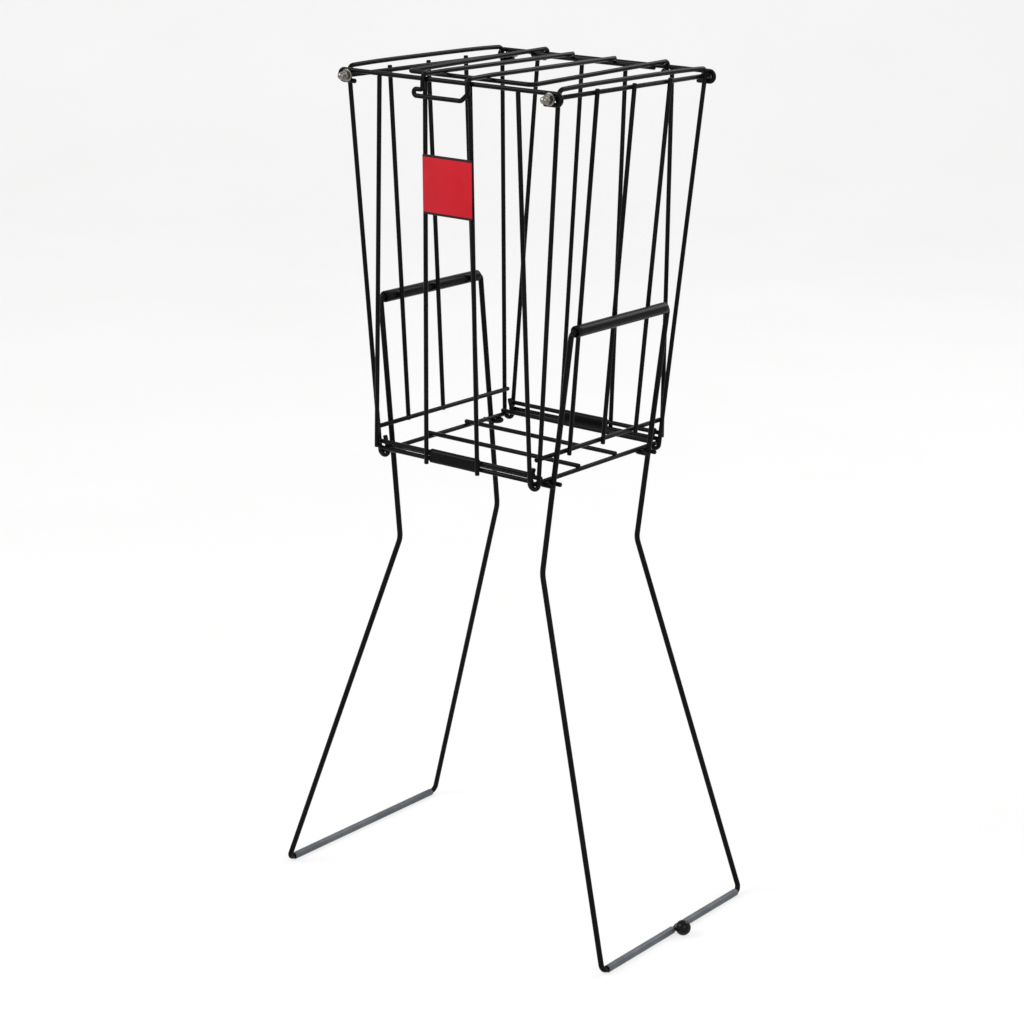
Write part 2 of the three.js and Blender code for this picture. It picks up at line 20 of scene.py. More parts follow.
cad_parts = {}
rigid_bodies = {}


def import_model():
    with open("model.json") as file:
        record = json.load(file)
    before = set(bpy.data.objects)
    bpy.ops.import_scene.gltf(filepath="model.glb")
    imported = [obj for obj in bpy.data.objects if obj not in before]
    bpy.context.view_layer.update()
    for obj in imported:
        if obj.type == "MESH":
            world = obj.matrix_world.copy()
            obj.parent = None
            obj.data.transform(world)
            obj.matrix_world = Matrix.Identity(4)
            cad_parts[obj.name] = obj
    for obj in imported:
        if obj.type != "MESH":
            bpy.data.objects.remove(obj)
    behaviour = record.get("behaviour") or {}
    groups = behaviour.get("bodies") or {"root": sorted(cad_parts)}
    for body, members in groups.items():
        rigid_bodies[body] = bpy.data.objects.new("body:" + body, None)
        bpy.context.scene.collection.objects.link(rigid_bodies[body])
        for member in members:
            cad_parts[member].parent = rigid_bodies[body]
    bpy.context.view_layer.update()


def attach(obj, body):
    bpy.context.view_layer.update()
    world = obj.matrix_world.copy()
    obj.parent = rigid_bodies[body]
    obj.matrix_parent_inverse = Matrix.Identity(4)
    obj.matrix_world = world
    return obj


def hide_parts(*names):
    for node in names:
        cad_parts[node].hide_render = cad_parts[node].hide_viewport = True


logging.basicConfig(level=logging.INFO, format="%(name)s: %(message)s")
LOG = logging.getLogger("hopper")
MM = 0.001
SHIFT_X = -7.2105
FRAME_PIXELS = 1024
SHARP_ANGLE = math.radians(38)
MERGE_DISTANCE = 1e-7
SHORTEST_RUN = 1e-6
LEAST_TURN = 1e-4
AXIS_HOLE = 0.02
SOFT = 0.3
NOISE_INPUTS = ("Scale", "Detail", "Roughness")
USUAL_NOISE = (0.3, 0.7)
MIX_FACTOR, MIX_FIRST, MIX_SECOND, MIX_RESULT = 0, 6, 7, 2
PLATE_HEIGHT = 57.0

Array = np.ndarray
Material = bpy.types.Material
Tree = bpy.types.NodeTree
Node = bpy.types.Node
Socket = bpy.types.NodeSocket
Source = Socket | float | tuple[float, ...]
Inputs = dict[str | int, Source]
Span = tuple[float, float]
Colour = tuple[float, float, float]
Stops = tuple[tuple[float, Colour], tuple[float, Colour]]


# ---------------------------------------------------------------- shared sizes


@dataclass(frozen=True)
class Stock:
    """Wire stock, fits and welds, and how finely wires are divided."""

    basket: float = 4.5
    leg: float = 5.5
    gap: float = 0.3
    bite: float = 0.6
    bead: float = 2.16
    sides: int = 16
    leg_sides: int = 20
    steps_per_turn: int = 48
    least_steps: int = 3
    end_rounding: float = 0.35
    end_rings: int = 4

    @property
    def pitch(self) -> float:
        """Distance between the centrelines of two wires that lie on each other unwelded."""
        return self.basket + self.gap

    @property
    def weld(self) -> float:
        """Distance between the centrelines of two wires that are welded."""
        return self.basket - self.bite

    @property
    def around(self) -> float:
        """Inner radius of what goes round a basket wire."""
        return self.basket / 2 + self.gap

    @property
    def around_leg(self) -> float:
        """Inner radius of what goes round a leg wire."""
        return self.leg / 2 + self.gap


STOCK = Stock()


@dataclass(frozen=True)
class BasketFrame:
    """Sizes that the basket's pieces share, on wire centrelines, and the planes through them."""

    rod_z: float = 840.6
    half_x_top: float = 124.5
    half_x_bottom: float = 98.9
    half_y_top: float = 118.6
    half_y_bottom: float = 100.7
    hook_z: float = 466.0
    hook_bend: float = 5.3
    rim_hook: float = 5.0
    side_rail_z: float = 495.7
    side_bar_top: float = 59.0
    side_bar_bottom: float = 55.1
    rail_z: float = 481.3
    inner_top: float = 26.7
    inner_bottom: float = 31.6

    @property
    def rim_z(self) -> float:
        """Height of the front and back rims."""
        return self.rod_z + self.rim_hook

    @property
    def rim_y(self) -> float:
        """Distance of the rims from the middle: one pitch outside the corner wires."""
        return self.corner_y(self.rim_z) + STOCK.pitch

    @property
    def panel_y_low(self) -> float:
        """Distance of the front uprights from the middle at their rail."""
        return self.half_y_bottom + 2 * STOCK.pitch

    @property
    def rail_back(self) -> float:
        """Y of the front rail, one pitch behind the uprights."""
        return STOCK.pitch - self.panel_y(self.rail_z)

    @property
    def floor_y(self) -> float:
        """Distance of the floor's end rods from the middle."""
        return self.half_y_bottom + STOCK.pitch

    @property
    def floor_x(self) -> float:
        """Distance of the floor's side wires from the middle: the corner hooks' middle."""
        return self.half_x_bottom - self.hook_bend

    @property
    def floor_z(self) -> float:
        """Height of the floor's side wires, one pitch above the hooks' bottom."""
        return self.hook_z + STOCK.pitch

    @property
    def floor_rod_z(self) -> float:
        """Height of the floor's cross rods, welded on the side wires."""
        return self.floor_z + STOCK.weld

    @property
    def rod_x(self) -> float:
        """Distance of the side rods from the middle."""
        return self.half_x_top - STOCK.weld

    def down(self, z: float) -> float:
        """Share of the way down from the side rods to the corner hooks at a height."""
        return (self.rod_z - z) / (self.rod_z - self.hook_z)

    def side_x(self, z: float) -> float:
        """X of a side panel's plane at a height: a straight line between its half widths."""
        return self.half_x_top + (self.half_x_bottom - self.half_x_top) * self.down(z)

    def corner_y(self, z: float) -> float:
        """Y of a corner wire at a height: a straight line between its half depths."""
        return self.half_y_top + (self.half_y_bottom - self.half_y_top) * self.down(z)

    def below_rim(self, z: float) -> float:
        """Share of the way down from the rims to their rails at a height."""
        return (self.rim_z - z) / (self.rim_z - self.rail_z)

    def panel_y(self, z: float) -> float:
        """Y of the front and back uprights at a height: a straight line from rim to rail."""
        return self.rim_y + (self.panel_y_low - self.rim_y) * self.below_rim(z)

    def bar_x(self, top: float, bottom: float, z: float) -> float:
        """X of an upright at a height, from its places on the rim and at the rail."""
        return top + (bottom - top) * self.below_rim(z)


BASKET = BasketFrame()


@dataclass(frozen=True)
class FastenerSizes:
    """Washers and cap nuts on the side rods' ends, measured from the rim hooks' plane."""

    washer_d: float = 12.2
    washer_t: float = 1.6
    flats: float = 8.0
    hex_h: float = 4.5
    length: float = 10.2
    dome_d: float = 7.4
    roof: float = 2.2
    play: float = 0.8

    @property
    def nut_face(self) -> float:
        """Place of the nut's face, past the washer and its gaps."""
        return STOCK.around + self.washer_t + STOCK.gap

    @property
    def rod_end(self) -> float:
        """Place of the side rod's cut end, inside the nut."""
        return self.nut_face + self.length - self.roof - self.play


FASTENER = FastenerSizes()


def vec(x: float, y: float, z: float) -> Array:
    """A point or direction."""
    return np.array([x, y, z], float)


@dataclass(frozen=True)
class LegFrame:
    """Sizes that the legs' pieces share, on wire centrelines."""

    hinge_z: float = 618.4
    tube_d: float = 11.5
    tube_half: float = 74.0
    half_y: float = 79.4
    foot_x: float = 205.8
    foot_y: float = 122.1
    grip_d: float = 7.6
    grip_front: float = 8.0
    grip_back: float = 7.2
    knob_d: float = 16.0
    knob_y: float = 2.6
    bare_half: float = 4.2
    stud_d: float = 4.0

    @property
    def hinge_x(self) -> float:
        """Distance of the hinge axis from the middle: the tube lies on the side panel's bars."""
        return BASKET.side_x(self.hinge_z) + STOCK.around + self.tube_d / 2

    @property
    def foot_z(self) -> float:
        """Height of the foot bars, which their grips hold off the floor."""
        return self.grip_d / 2

    @property
    def standoff(self) -> float:
        """Distance of the knob's middle from the foot bar's axis."""
        return self.knob_d / 2 + STOCK.around_leg

    def knob_frame(self) -> tuple[Array, Array]:
        """Axis and place of the knob, which stands off the right foot bar and touches the floor.

        Its tilt is the angle whose sine is half of the difference between knob and grip, over the
        standoff.

        Returns:
            Basis rows (axis, radial, radial), and a point on the foot bar's axis.
        """
        tilt = math.asin((self.knob_d - self.grip_d) / 2 / self.standoff)
        axis = vec(math.cos(tilt), 0, math.sin(tilt))
        first = vec(0, 1, 0)
        return np.array([axis, first, np.cross(axis, first)]), vec(self.foot_x, self.knob_y, self.foot_z)


LEGS = LegFrame()
ALONG_Y = np.array([vec(0, 1, 0), vec(0, 0, 1), vec(1, 0, 0)])


class Turn(Enum):
    """Half of the basket's frame: the back half is the front half turned round the upright axis."""

    FRONT = 1.0
    BACK = -1.0

    def place(self, points: Array) -> Array:
        """Points of the front half, or the same turned half a turn round the upright axis."""
        return points * np.array([self.value, self.value, 1.0])


class Side(Enum):
    """Side of the basket along X."""

    RIGHT = 1.0
    LEFT = -1.0


# ---------------------------------------------------------------- mesh tools


def bend(corners: Array, radii: Sequence[float]) -> Array:
    """Centreline of a bent wire.

    Each inner corner is replaced by an arc. Its centre lies on the corner's bisector, at the bend radius
    divided by the cosine of half the turn. A spoke of the arc is the first spoke times the cosine of its
    angle, plus the axis crossed with the first spoke times the sine.

    Args:
        corners: (n, 3) corner points.
        radii: bend radius of each inner corner; 0 keeps the corner.

    Returns:
        (m, 3) points.
    """
    runs = [corners[:1]]
    for here, before, after, radius in zip(corners[1:-1], corners[:-2], corners[2:], radii):
        back = (before - here) / np.linalg.norm(before - here)
        ahead = (after - here) / np.linalg.norm(after - here)
        turn = math.pi - math.acos(np.clip(back @ ahead, -1, 1))
        if radius <= 0 or turn < LEAST_TURN:
            runs.append(here[None])
            continue
        inward = (back + ahead) / np.linalg.norm(back + ahead)
        centre = here + inward * radius / math.cos(turn / 2)
        start = here + back * radius * math.tan(turn / 2) - centre
        axis = np.cross(back, ahead)
        axis /= np.linalg.norm(axis)
        steps = max(STOCK.least_steps, math.ceil(turn * STOCK.steps_per_turn / (2 * math.pi)))
        angles = np.linspace(0, -turn, steps + 1)[:, None]
        runs.append(centre + np.cos(angles) * start + np.sin(angles) * np.cross(axis, start))
    runs.append(corners[-1:])
    return np.vstack(runs)


def half_circle(first: float, last: float) -> Array:
    """Angles of half a turn, as finely divided as the bends."""
    return np.linspace(first, last, STOCK.steps_per_turn // 2 + 1)


def unit(vectors: Array) -> Array:
    """Vectors divided by their lengths."""
    return vectors / np.linalg.norm(vectors, axis=-1, keepdims=True)


def grid_faces(rows: int, columns: int, closed: bool) -> Array:
    """Quads of a grid whose columns close on themselves.

    Args:
        rows: rows of points.
        columns: points in a row.
        closed: whether the last row joins the first.

    Returns:
        (n, 4) vertex numbers.
    """
    row = np.arange(rows if closed else rows - 1)[:, None]
    column = np.arange(columns)[None]
    low, high = row * columns, (row + 1) % rows * columns
    after = (column + 1) % columns
    quads = np.broadcast_arrays(low + column, low + after, high + after, high + column)
    return np.stack(quads, axis=-1).reshape(-1, 4)


def tube_profile(lip: Array, middle: Array, start: float, end: float) -> Array:
    """Closed outline of a ring or tube: a lip, the outside, and the lip mirrored at the other end.

    Args:
        lip: (n, 2) radius and distance from the end, from the bore outwards.
        middle: (m, 2) radius and place along the outside.
        start: place of the first end.
        end: place of the other end.

    Returns:
        (2 n + m, 2) radius and place.
    """
    first = np.c_[lip[:, 0], start + lip[:, 1]]
    other = np.c_[lip[:, 0], end - lip[:, 1]][::-1]
    return np.vstack((first, middle, other))


@dataclass
class Shape:
    """A growing mesh, to which grids of points are added."""

    vertices: list[Array] = field(default_factory=list)
    uvs: list[Array] = field(default_factory=list)
    faces: list[list[int]] = field(default_factory=list)
    count: int = 0

    def grid(self, points: Array, uv: Array, closed: bool = False, caps: bool = False) -> None:
        """Adds a grid whose columns close on themselves.

        Args:
            points: (rows, columns, 3) points.
            uv: (rows, columns, 2) texture places.
            closed: whether the last row joins the first.
            caps: whether the first and last rows are filled.
        """
        rows, columns = points.shape[:2]
        self.faces += (grid_faces(rows, columns, closed) + self.count).tolist()
        if caps:
            ring = np.arange(columns) + self.count
            self.faces += [ring[::-1].tolist(), (ring + (rows - 1) * columns).tolist()]
        self.vertices.append(points.reshape(-1, 3))
        self.uvs.append(uv.reshape(-1, 2))
        self.count += rows * columns

    def wire(self, points: Array, diameter: float = STOCK.basket, sides: int = STOCK.sides) -> None:
        """A round wire swept along a centreline, with its cut ends rounded over.

        A ring's point is the centre plus the radius times the cosine of its angle along one normal and
        the sine along the other. The normals are carried along by taking from the last one its part
        along the tangent, and each ring lies in the plane that halves the bend. The end rings shrink
        along a quarter circle.

        Args:
            points: (n, 3) centreline.
            diameter: wire diameter.
            sides: points in the section.
        """
        lengths = np.linalg.norm(np.diff(points, axis=0), axis=1)
        points = points[np.concatenate(([True], lengths > SHORTEST_RUN))]
        runs = np.diff(points, axis=0)
        ahead = unit(runs)
        tangents = unit(np.vstack((ahead[:1], ahead[:-1] + ahead[1:], ahead[-1:])))
        along = np.concatenate(([0.0], np.cumsum(np.linalg.norm(runs, axis=1))))
        normals = np.empty_like(tangents)
        last = unit(np.cross(tangents[0], np.eye(3)[np.argmin(np.abs(tangents[0]))]))
        for index, tangent in enumerate(tangents):
            last = unit(last - tangent * (last @ tangent))
            normals[index] = last
        edge = STOCK.end_rounding * diameter / 2
        quarter = np.linspace(0, math.pi / 2, STOCK.end_rings)
        inset, cut = edge * (1 - np.cos(quarter)), edge * (1 - np.sin(quarter))
        ends = np.zeros(STOCK.end_rings, int)
        which = np.concatenate((ends, np.arange(1, len(points) - 1), ends + len(points) - 1))
        still = np.zeros(len(points) - 2)
        moved = np.concatenate((inset, still, -inset[::-1]))
        radii = diameter / 2 - np.concatenate((cut, still, cut[::-1]))
        normal, tangent = normals[which], tangents[which]
        angles = 2 * math.pi * np.arange(sides)[:, None] / sides
        circles = np.cos(angles) * normal[:, None] + np.sin(angles) * np.cross(tangent, normal)[:, None]
        centres = points[which] + moved[:, None] * tangent
        around, place = np.meshgrid(np.arange(sides) / sides, (along[which] + moved) * MM)
        rings = centres[:, None] + radii[:, None, None] * circles
        self.grid(rings, np.dstack((around, place)), caps=True)

    def line(self, start: Array, end: Array) -> None:
        """A straight basket wire."""
        self.wire(np.array([start, end]))

    def bead(self, centre: Array, first: Array, second: Array, size: float = STOCK.bead) -> None:
        """A weld bead: a flattened, slightly uneven ellipsoid between two crossing wires.

        Its half axes are the size along both wires and a little over half of it across them. The first
        two swell and shrink three times round by a small sine.

        Args:
            centre: middle of the weld.
            first: direction of one wire.
            second: direction of the other wire.
            size: half of the bead's length along the wires.
        """
        rows, columns = 8, 12
        swell, swells, shift, flatness = 0.06, 3, 7, 0.55
        first = unit(first)
        across = unit(np.cross(first, second))
        second = np.cross(across, first)
        down = np.arange(rows) / (rows - 1)
        polar = math.pi * down[:, None, None]
        turn = 2 * math.pi * np.arange(columns)[None, :, None] / columns
        flat = size * (1 + swell * np.sin(swells * turn + shift * centre[2])) * np.sin(polar)
        round_them = first * np.cos(turn) + second * np.sin(turn)
        points = centre + flat * round_them + across * size * flatness * np.cos(polar)
        around, place = np.meshgrid(np.arange(columns) / columns, size * MM * down)
        self.grid(points, np.dstack((around, place)))

    def turned(
        self, profile: Array, basis: Array, origin: Array, sides: int, closed: bool = False
    ) -> None:
        """A turned piece: a point is the origin plus its place along the axis and its radius outwards.

        Args:
            profile: (n, 2) radius and place along the axis.
            basis: (3, 3) rows: axis, first radial direction, second radial direction.
            origin: point on the axis where place is 0.
            sides: points round the axis.
            closed: whether the outline closes on itself, as a ring's does.
        """
        angles = 2 * math.pi * np.arange(sides)[:, None] / sides
        spokes = np.cos(angles) * basis[1] + np.sin(angles) * basis[2]
        radius, place = profile[:, 0], profile[:, 1]
        points = origin + place[:, None, None] * basis[0] + radius[:, None, None] * spokes
        around, height = np.meshgrid(np.arange(sides) / sides, place * MM)
        self.grid(points, np.dstack((around, height)), closed)

    def build(self, name: str, body: str, finish: Material, node: str) -> None:
        """Args:
            name: the object's name.
            body: the body it rides on.
            finish: its material.
            node: the CAD node that it replaces.
        """
        points = np.vstack(self.vertices) * MM
        points[:, 0] += SHIFT_X * MM
        mesh = bpy.data.meshes.new(name)
        mesh.from_pydata(points.tolist(), [], self.faces)
        layer = mesh.uv_layers.new(name="UVMap")
        corner_vertex = np.zeros(len(mesh.loops), np.int32)
        mesh.loops.foreach_get("vertex_index", corner_vertex)
        layer.data.foreach_set("uv", np.vstack(self.uvs).astype(np.float32)[corner_vertex].ravel())
        work = bmesh.new()
        work.from_mesh(mesh)
        bmesh.ops.remove_doubles(work, verts=work.verts, dist=MERGE_DISTANCE)
        bmesh.ops.recalc_face_normals(work, faces=work.faces)
        work.to_mesh(mesh)
        work.free()
        mesh.shade_smooth()
        mesh.set_sharp_from_angle(angle=SHARP_ANGLE)
        mesh.materials.append(finish)
        obj = bpy.data.objects.new(name, mesh)
        bpy.context.scene.collection.objects.link(obj)
        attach(obj, body)
        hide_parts(node)
        LOG.info("%s: %d vertices, replaces %s", name, len(mesh.vertices), node)


# ---------------------------------------------------------------- finishes


class Waves(NamedTuple):
    """Noise in object coordinates: waves to the metre, layers of detail, and how rough they are."""

    scale: float
    detail: float
    roughness: float = 0.5


def feed(tree: Tree, node: Node, inputs: Inputs) -> None:
    """Sets a node's inputs.

    Args:
        tree: node tree.
        node: the node.
        inputs: a socket or a value for each input, by its name or number.
    """
    for name, source in inputs.items():
        if isinstance(source, Socket):
            tree.links.new(source, node.inputs[name])
        else:
            node.inputs[name].default_value = source


def add(tree: Tree, kind: str, inputs: Inputs) -> Node:
    """Adds a node.

    Args:
        tree: node tree.
        kind: the node's type.
        inputs: a socket or a value for each input, by its name or number.

    Returns:
        The node.
    """
    node = tree.nodes.new(kind)
    feed(tree, node, inputs)
    return node


def worked(tree: Tree, operation: str, *values: Source) -> Socket:
    """Result of a math operation.

    Args:
        tree: node tree.
        operation: the Math node's operation.
        values: a socket or a number for each input.

    Returns:
        The result.
    """
    node = add(tree, "ShaderNodeMath", dict(enumerate(values)))
    node.operation = operation
    return node.outputs["Value"]


def ranged(tree: Tree, value: Socket, source: Span, result: Span) -> Socket:
    """Maps one range of a value to another."""
    inputs = dict(zip(("From Min", "From Max", "To Min", "To Max"), (*source, *result)), Value=value)
    return add(tree, "ShaderNodeMapRange", inputs).outputs["Result"]


def noise(tree: Tree, waves: Waves) -> Socket:
    """Value of a noise in object coordinates."""
    place = {"Vector": add(tree, "ShaderNodeTexCoord", {}).outputs["Object"]}
    return add(tree, "ShaderNodeTexNoise", place | dict(zip(NOISE_INPUTS, waves))).outputs["Fac"]


def ramp(tree: Tree, source: Socket, stops: Stops) -> Socket:
    """Colour ramp over a value.

    Args:
        tree: node tree.
        source: the value.
        stops: place and colour of both stops.

    Returns:
        The colour.
    """
    node = add(tree, "ShaderNodeValToRGB", {"Fac": source})
    for element, (place, colour) in zip(node.color_ramp.elements, stops):
        element.position, element.color = place, (*colour, 1)
    return node.outputs["Color"]


Relief = tuple[tuple[Waves, float], ...]


@dataclass(frozen=True)
class Finish:
    """Base of a procedural finish: a Principled material with noise in its colour, roughness and relief.

    The tint's noise blends the two stops' colours. The wear's noise moves the roughness by the spread
    over its usual range. Each layer of relief is a noise and its depth in metres.
    """

    name: str
    colour: Colour
    roughness: float
    tint: Waves
    stops: Stops
    wear: Waves
    spread: Span
    relief: Relief
    metallic: float = 0.0
    specular: float = 0.5

    def overlay(self, tree: Tree, tint: Socket) -> Socket:
        """The colour with what lies over the tint: nothing, unless a subclass says otherwise."""
        return tint

    def material(self) -> Material:
        """Builds the node material.

        Returns:
            The material.
        """
        made = bpy.data.materials.new(self.name)
        made.use_nodes = True
        made.diffuse_color = (*self.colour, 1)
        tree = made.node_tree
        shader = tree.nodes["Principled BSDF"]
        plain = {"Base Color": (*self.colour, 1), "Roughness": self.roughness}
        feed(tree, shader, plain | {"Metallic": self.metallic, "Specular IOR Level": self.specular})
        layers = dict.fromkeys((self.tint, self.wear, *dict(self.relief)))
        noises = {waves: noise(tree, waves) for waves in layers}
        colour = self.overlay(tree, ramp(tree, noises[self.tint], self.stops))
        low, high = self.spread
        result = (self.roughness + low, self.roughness + high)
        rough = ranged(tree, noises[self.wear], USUAL_NOISE, result)
        normal: Inputs = {}
        for waves, depth in self.relief:
            inputs = {"Height": noises[waves], "Strength": 1.0, "Distance": depth}
            normal = {"Normal": add(tree, "ShaderNodeBump", inputs | normal).outputs["Normal"]}
        feed(tree, shader, {"Base Color": colour, "Roughness": rough} | normal)
        return made


@dataclass(frozen=True)
class PowderCoat(Finish):
    """Gloss black powder coat: a fine orange peel with specks, faint dust and duller patches."""

    name: str = "powder_black"
    colour: Colour = (0.0024, 0.0024, 0.0026)
    roughness: float = 0.25
    specular: float = 0.06
    tint: Waves = Waves(22, 4, 0.6)
    stops: Stops = ((0.35, colour), (0.75, (0.0055, 0.0055, 0.006)))
    wear: Waves = tint
    spread: Span = (-0.05, 0.12)
    relief: Relief = ((Waves(700, 2), 0.00003), (Waves(1900, 1), 0.0000075))


@dataclass(frozen=True)
class ZincPlate(Finish):
    """Bright zinc plate: fine tool marks, with duller and rougher stains."""

    name: str = "zinc_plate"
    colour: Colour = (0.25, 0.24, 0.21)
    roughness: float = 0.2
    metallic: float = 1.0
    tint: Waves = Waves(260, 5, 0.65)
    stops: Stops = ((0.38, (0.11, 0.104, 0.09)), (0.62, colour))
    wear: Waves = tint
    spread: Span = (0.12, -0.04)
    relief: Relief = ((Waves(2600, 3, 0.6), 0.000004),)


@dataclass(frozen=True)
class GripSleeve(Finish):
    """Soft grey plastic sleeve: a fine even grain and rubbed, slightly paler and smoother places."""

    name: str = "grip_grey"
    colour: Colour = (0.060, 0.069, 0.081)
    roughness: float = 0.52
    tint: Waves = Waves(45, 5, 0.6)
    stops: Stops = ((0.4, colour), (0.72, (0.086, 0.097, 0.111)))
    wear: Waves = tint
    spread: Span = (0.06, -0.1)
    relief: Relief = ((Waves(2400, 3, 0.7), 0.00003), (tint, 0.00005))


@dataclass(frozen=True)
class KnobGloss(Finish):
    """Moulded gloss black plastic: its flow in colour and relief, and hairline handling marks."""

    name: str = "knob_black"
    colour: Colour = (0.003, 0.003, 0.0033)
    roughness: float = 0.07
    specular: float = 0.1
    tint: Waves = Waves(60, 2)
    stops: Stops = ((0.3, colour), (0.8, (0.007, 0.007, 0.0075)))
    wear: Waves = Waves(900, 6, 0.75)
    spread: Span = (0.0, 0.07)
    relief: Relief = ((tint, 0.00004),)


@dataclass(frozen=True)
class PlateEnamel(Finish):
    """Red enamelled plate, blank, with a faint film and a thin dark line along two of its edges."""

    name: str = "plate_red"
    colour: Colour = (0.50, 0.009, 0.019)
    roughness: float = 0.36
    specular: float = 0.15
    tint: Waves = Waves(35, 4)
    stops: Stops = ((0.3, (0.44, 0.007, 0.015)), (0.7, colour))
    wear: Waves = Waves(420, 3)
    spread: Span = (-0.05, 0.08)
    relief: Relief = ((wear, 0.00001),)
    line: Colour = (0.016, 0.006, 0.007)
    line_width: float = 2.4

    def overlay(self, tree: Tree, tint: Socket) -> Socket:
        """Draws the lines over the tint, where V is within their width of 0 or 1.

        Args:
            tree: node tree.
            tint: the colour between the lines.

        Returns:
            The colour.
        """
        place = add(tree, "ShaderNodeTexCoord", {}).outputs["UV"]
        height = add(tree, "ShaderNodeSeparateXYZ", {"Vector": place}).outputs["Y"]
        away = worked(tree, "ABSOLUTE", worked(tree, "SUBTRACT", height, 0.5))
        edge = worked(tree, "GREATER_THAN", away, 0.5 - self.line_width / PLATE_HEIGHT)
        mix = tree.nodes.new("ShaderNodeMix")
        mix.data_type = "RGBA"
        feed(tree, mix, {MIX_FACTOR: edge, MIX_FIRST: tint, MIX_SECOND: (*self.line, 1)})
        return mix.outputs[MIX_RESULT]


def make_finishes() -> dict[str, Material]:
    """The object's materials, by record slot."""
    kinds = (PowderCoat(), ZincPlate(), GripSleeve(), KnobGloss(), PlateEnamel())
    return {kind.name: kind.material() for kind in kinds}


# ---------------------------------------------------------------- sub-assemblies


@dataclass(frozen=True)
class Piece:
    """Base of the sub-assemblies, which build and dress their pieces in place of the CAD nodes."""

    finishes: dict[str, Material]

    def make(self) -> None:
        """Builds and dresses the pieces; a subclass says how."""
        raise NotImplementedError

    def dress(
        self, shape: Shape, name: str, node: str, body: str = "basket", slot: str = "powder_black"
    ) -> None:
        """Builds one piece with a slot's finish in place of a CAD node."""
        shape.build(name, body, self.finishes[slot], node)


@dataclass(frozen=True)
class FramePanel(Piece):
    """Base of the basket's panels, which are laid out for the front half and turned for the back."""

    turn: Turn

    def wire(self, shape: Shape, *points: Array) -> None:
        """Adds one wire through points or rows of points."""
        shape.wire(self.turn.place(np.vstack(points)))

    def bead(self, shape: Shape, centre: Array, first: Array, second: Array) -> None:
        """Adds one weld bead."""
        shape.bead(*self.turn.place(np.array([centre, first, second])))


@dataclass(frozen=True)
class EndPanel(FramePanel):
    """Front or back panel: a rim hooked round the side rods, four uprights, and the rail behind them."""

    hook_reach: float = 5.9
    hook_return: float = 14.0
    outer_top: float = 82.5
    outer_bottom: float = 95.3
    outer_foot: float = 5.6
    inner_foot: float = 11.4
    rail_overrun: float = 2.0

    def rim_hook(self, side: float) -> Array:
        """Half circle of the hook's radius between the return under the rod and the rim.

        Args:
            side: 1 for the right end, -1 for the left.

        Returns:
            (n, 3) points, from the wire's cut end.
        """
        bend_x = BASKET.rod_x + self.hook_reach
        angles = half_circle(math.pi, 0)
        arc = np.c_[
            side * (bend_x + BASKET.rim_hook * np.sin(angles)),
            np.full(len(angles), -BASKET.rim_y),
            BASKET.rod_z + BASKET.rim_hook * np.cos(angles),
        ]
        end = vec(side * (bend_x - self.hook_return), -BASKET.rim_y, BASKET.rod_z - BASKET.rim_hook)
        return np.vstack((end, arc))

    def upright(self, shape: Shape, side: float, top: float, bottom: float, foot: float) -> None:
        """Adds an upright, its weld under the rim and its weld to the rail.

        Args:
            shape: the panel.
            side: 1 for the right half, -1 for the left.
            top: its place on the rim.
            bottom: its place at the rail.
            foot: how far it reaches below the rail.
        """
        head_z = BASKET.rim_z - STOCK.basket / 2 + STOCK.bite / 2
        ends = (head_z, BASKET.rail_z - foot)
        head, toe = (vec(side * BASKET.bar_x(top, bottom, z), -BASKET.panel_y(z), z) for z in ends)
        self.wire(shape, head, toe)
        self.bead(shape, head, vec(1, 0, 0), vec(0, 1, 0))
        weld_y = (BASKET.rail_back - BASKET.panel_y(BASKET.rail_z)) / 2
        self.bead(shape, vec(side * bottom, weld_y, BASKET.rail_z), vec(1, 0, 0), vec(0, 0, 1))

    def make(self) -> None:
        """Builds the rail and the panel."""
        name = self.turn.name.lower()
        end = self.outer_bottom + self.rail_overrun
        rail = Shape()
        self.wire(rail, *(vec(x, BASKET.rail_back, BASKET.rail_z) for x in (-end, end)))
        self.dress(rail, f"{name}_rail_wire", f"{name}_rail")
        panel = Shape()
        self.wire(panel, self.rim_hook(-1), self.rim_hook(1)[::-1])
        for side in (-1, 1):
            self.upright(panel, side, self.outer_top, self.outer_bottom, self.outer_foot)
            self.upright(panel, side, BASKET.inner_top, BASKET.inner_bottom, self.inner_foot)
        self.dress(panel, f"{name}_panel_wires", f"{name}_panel")


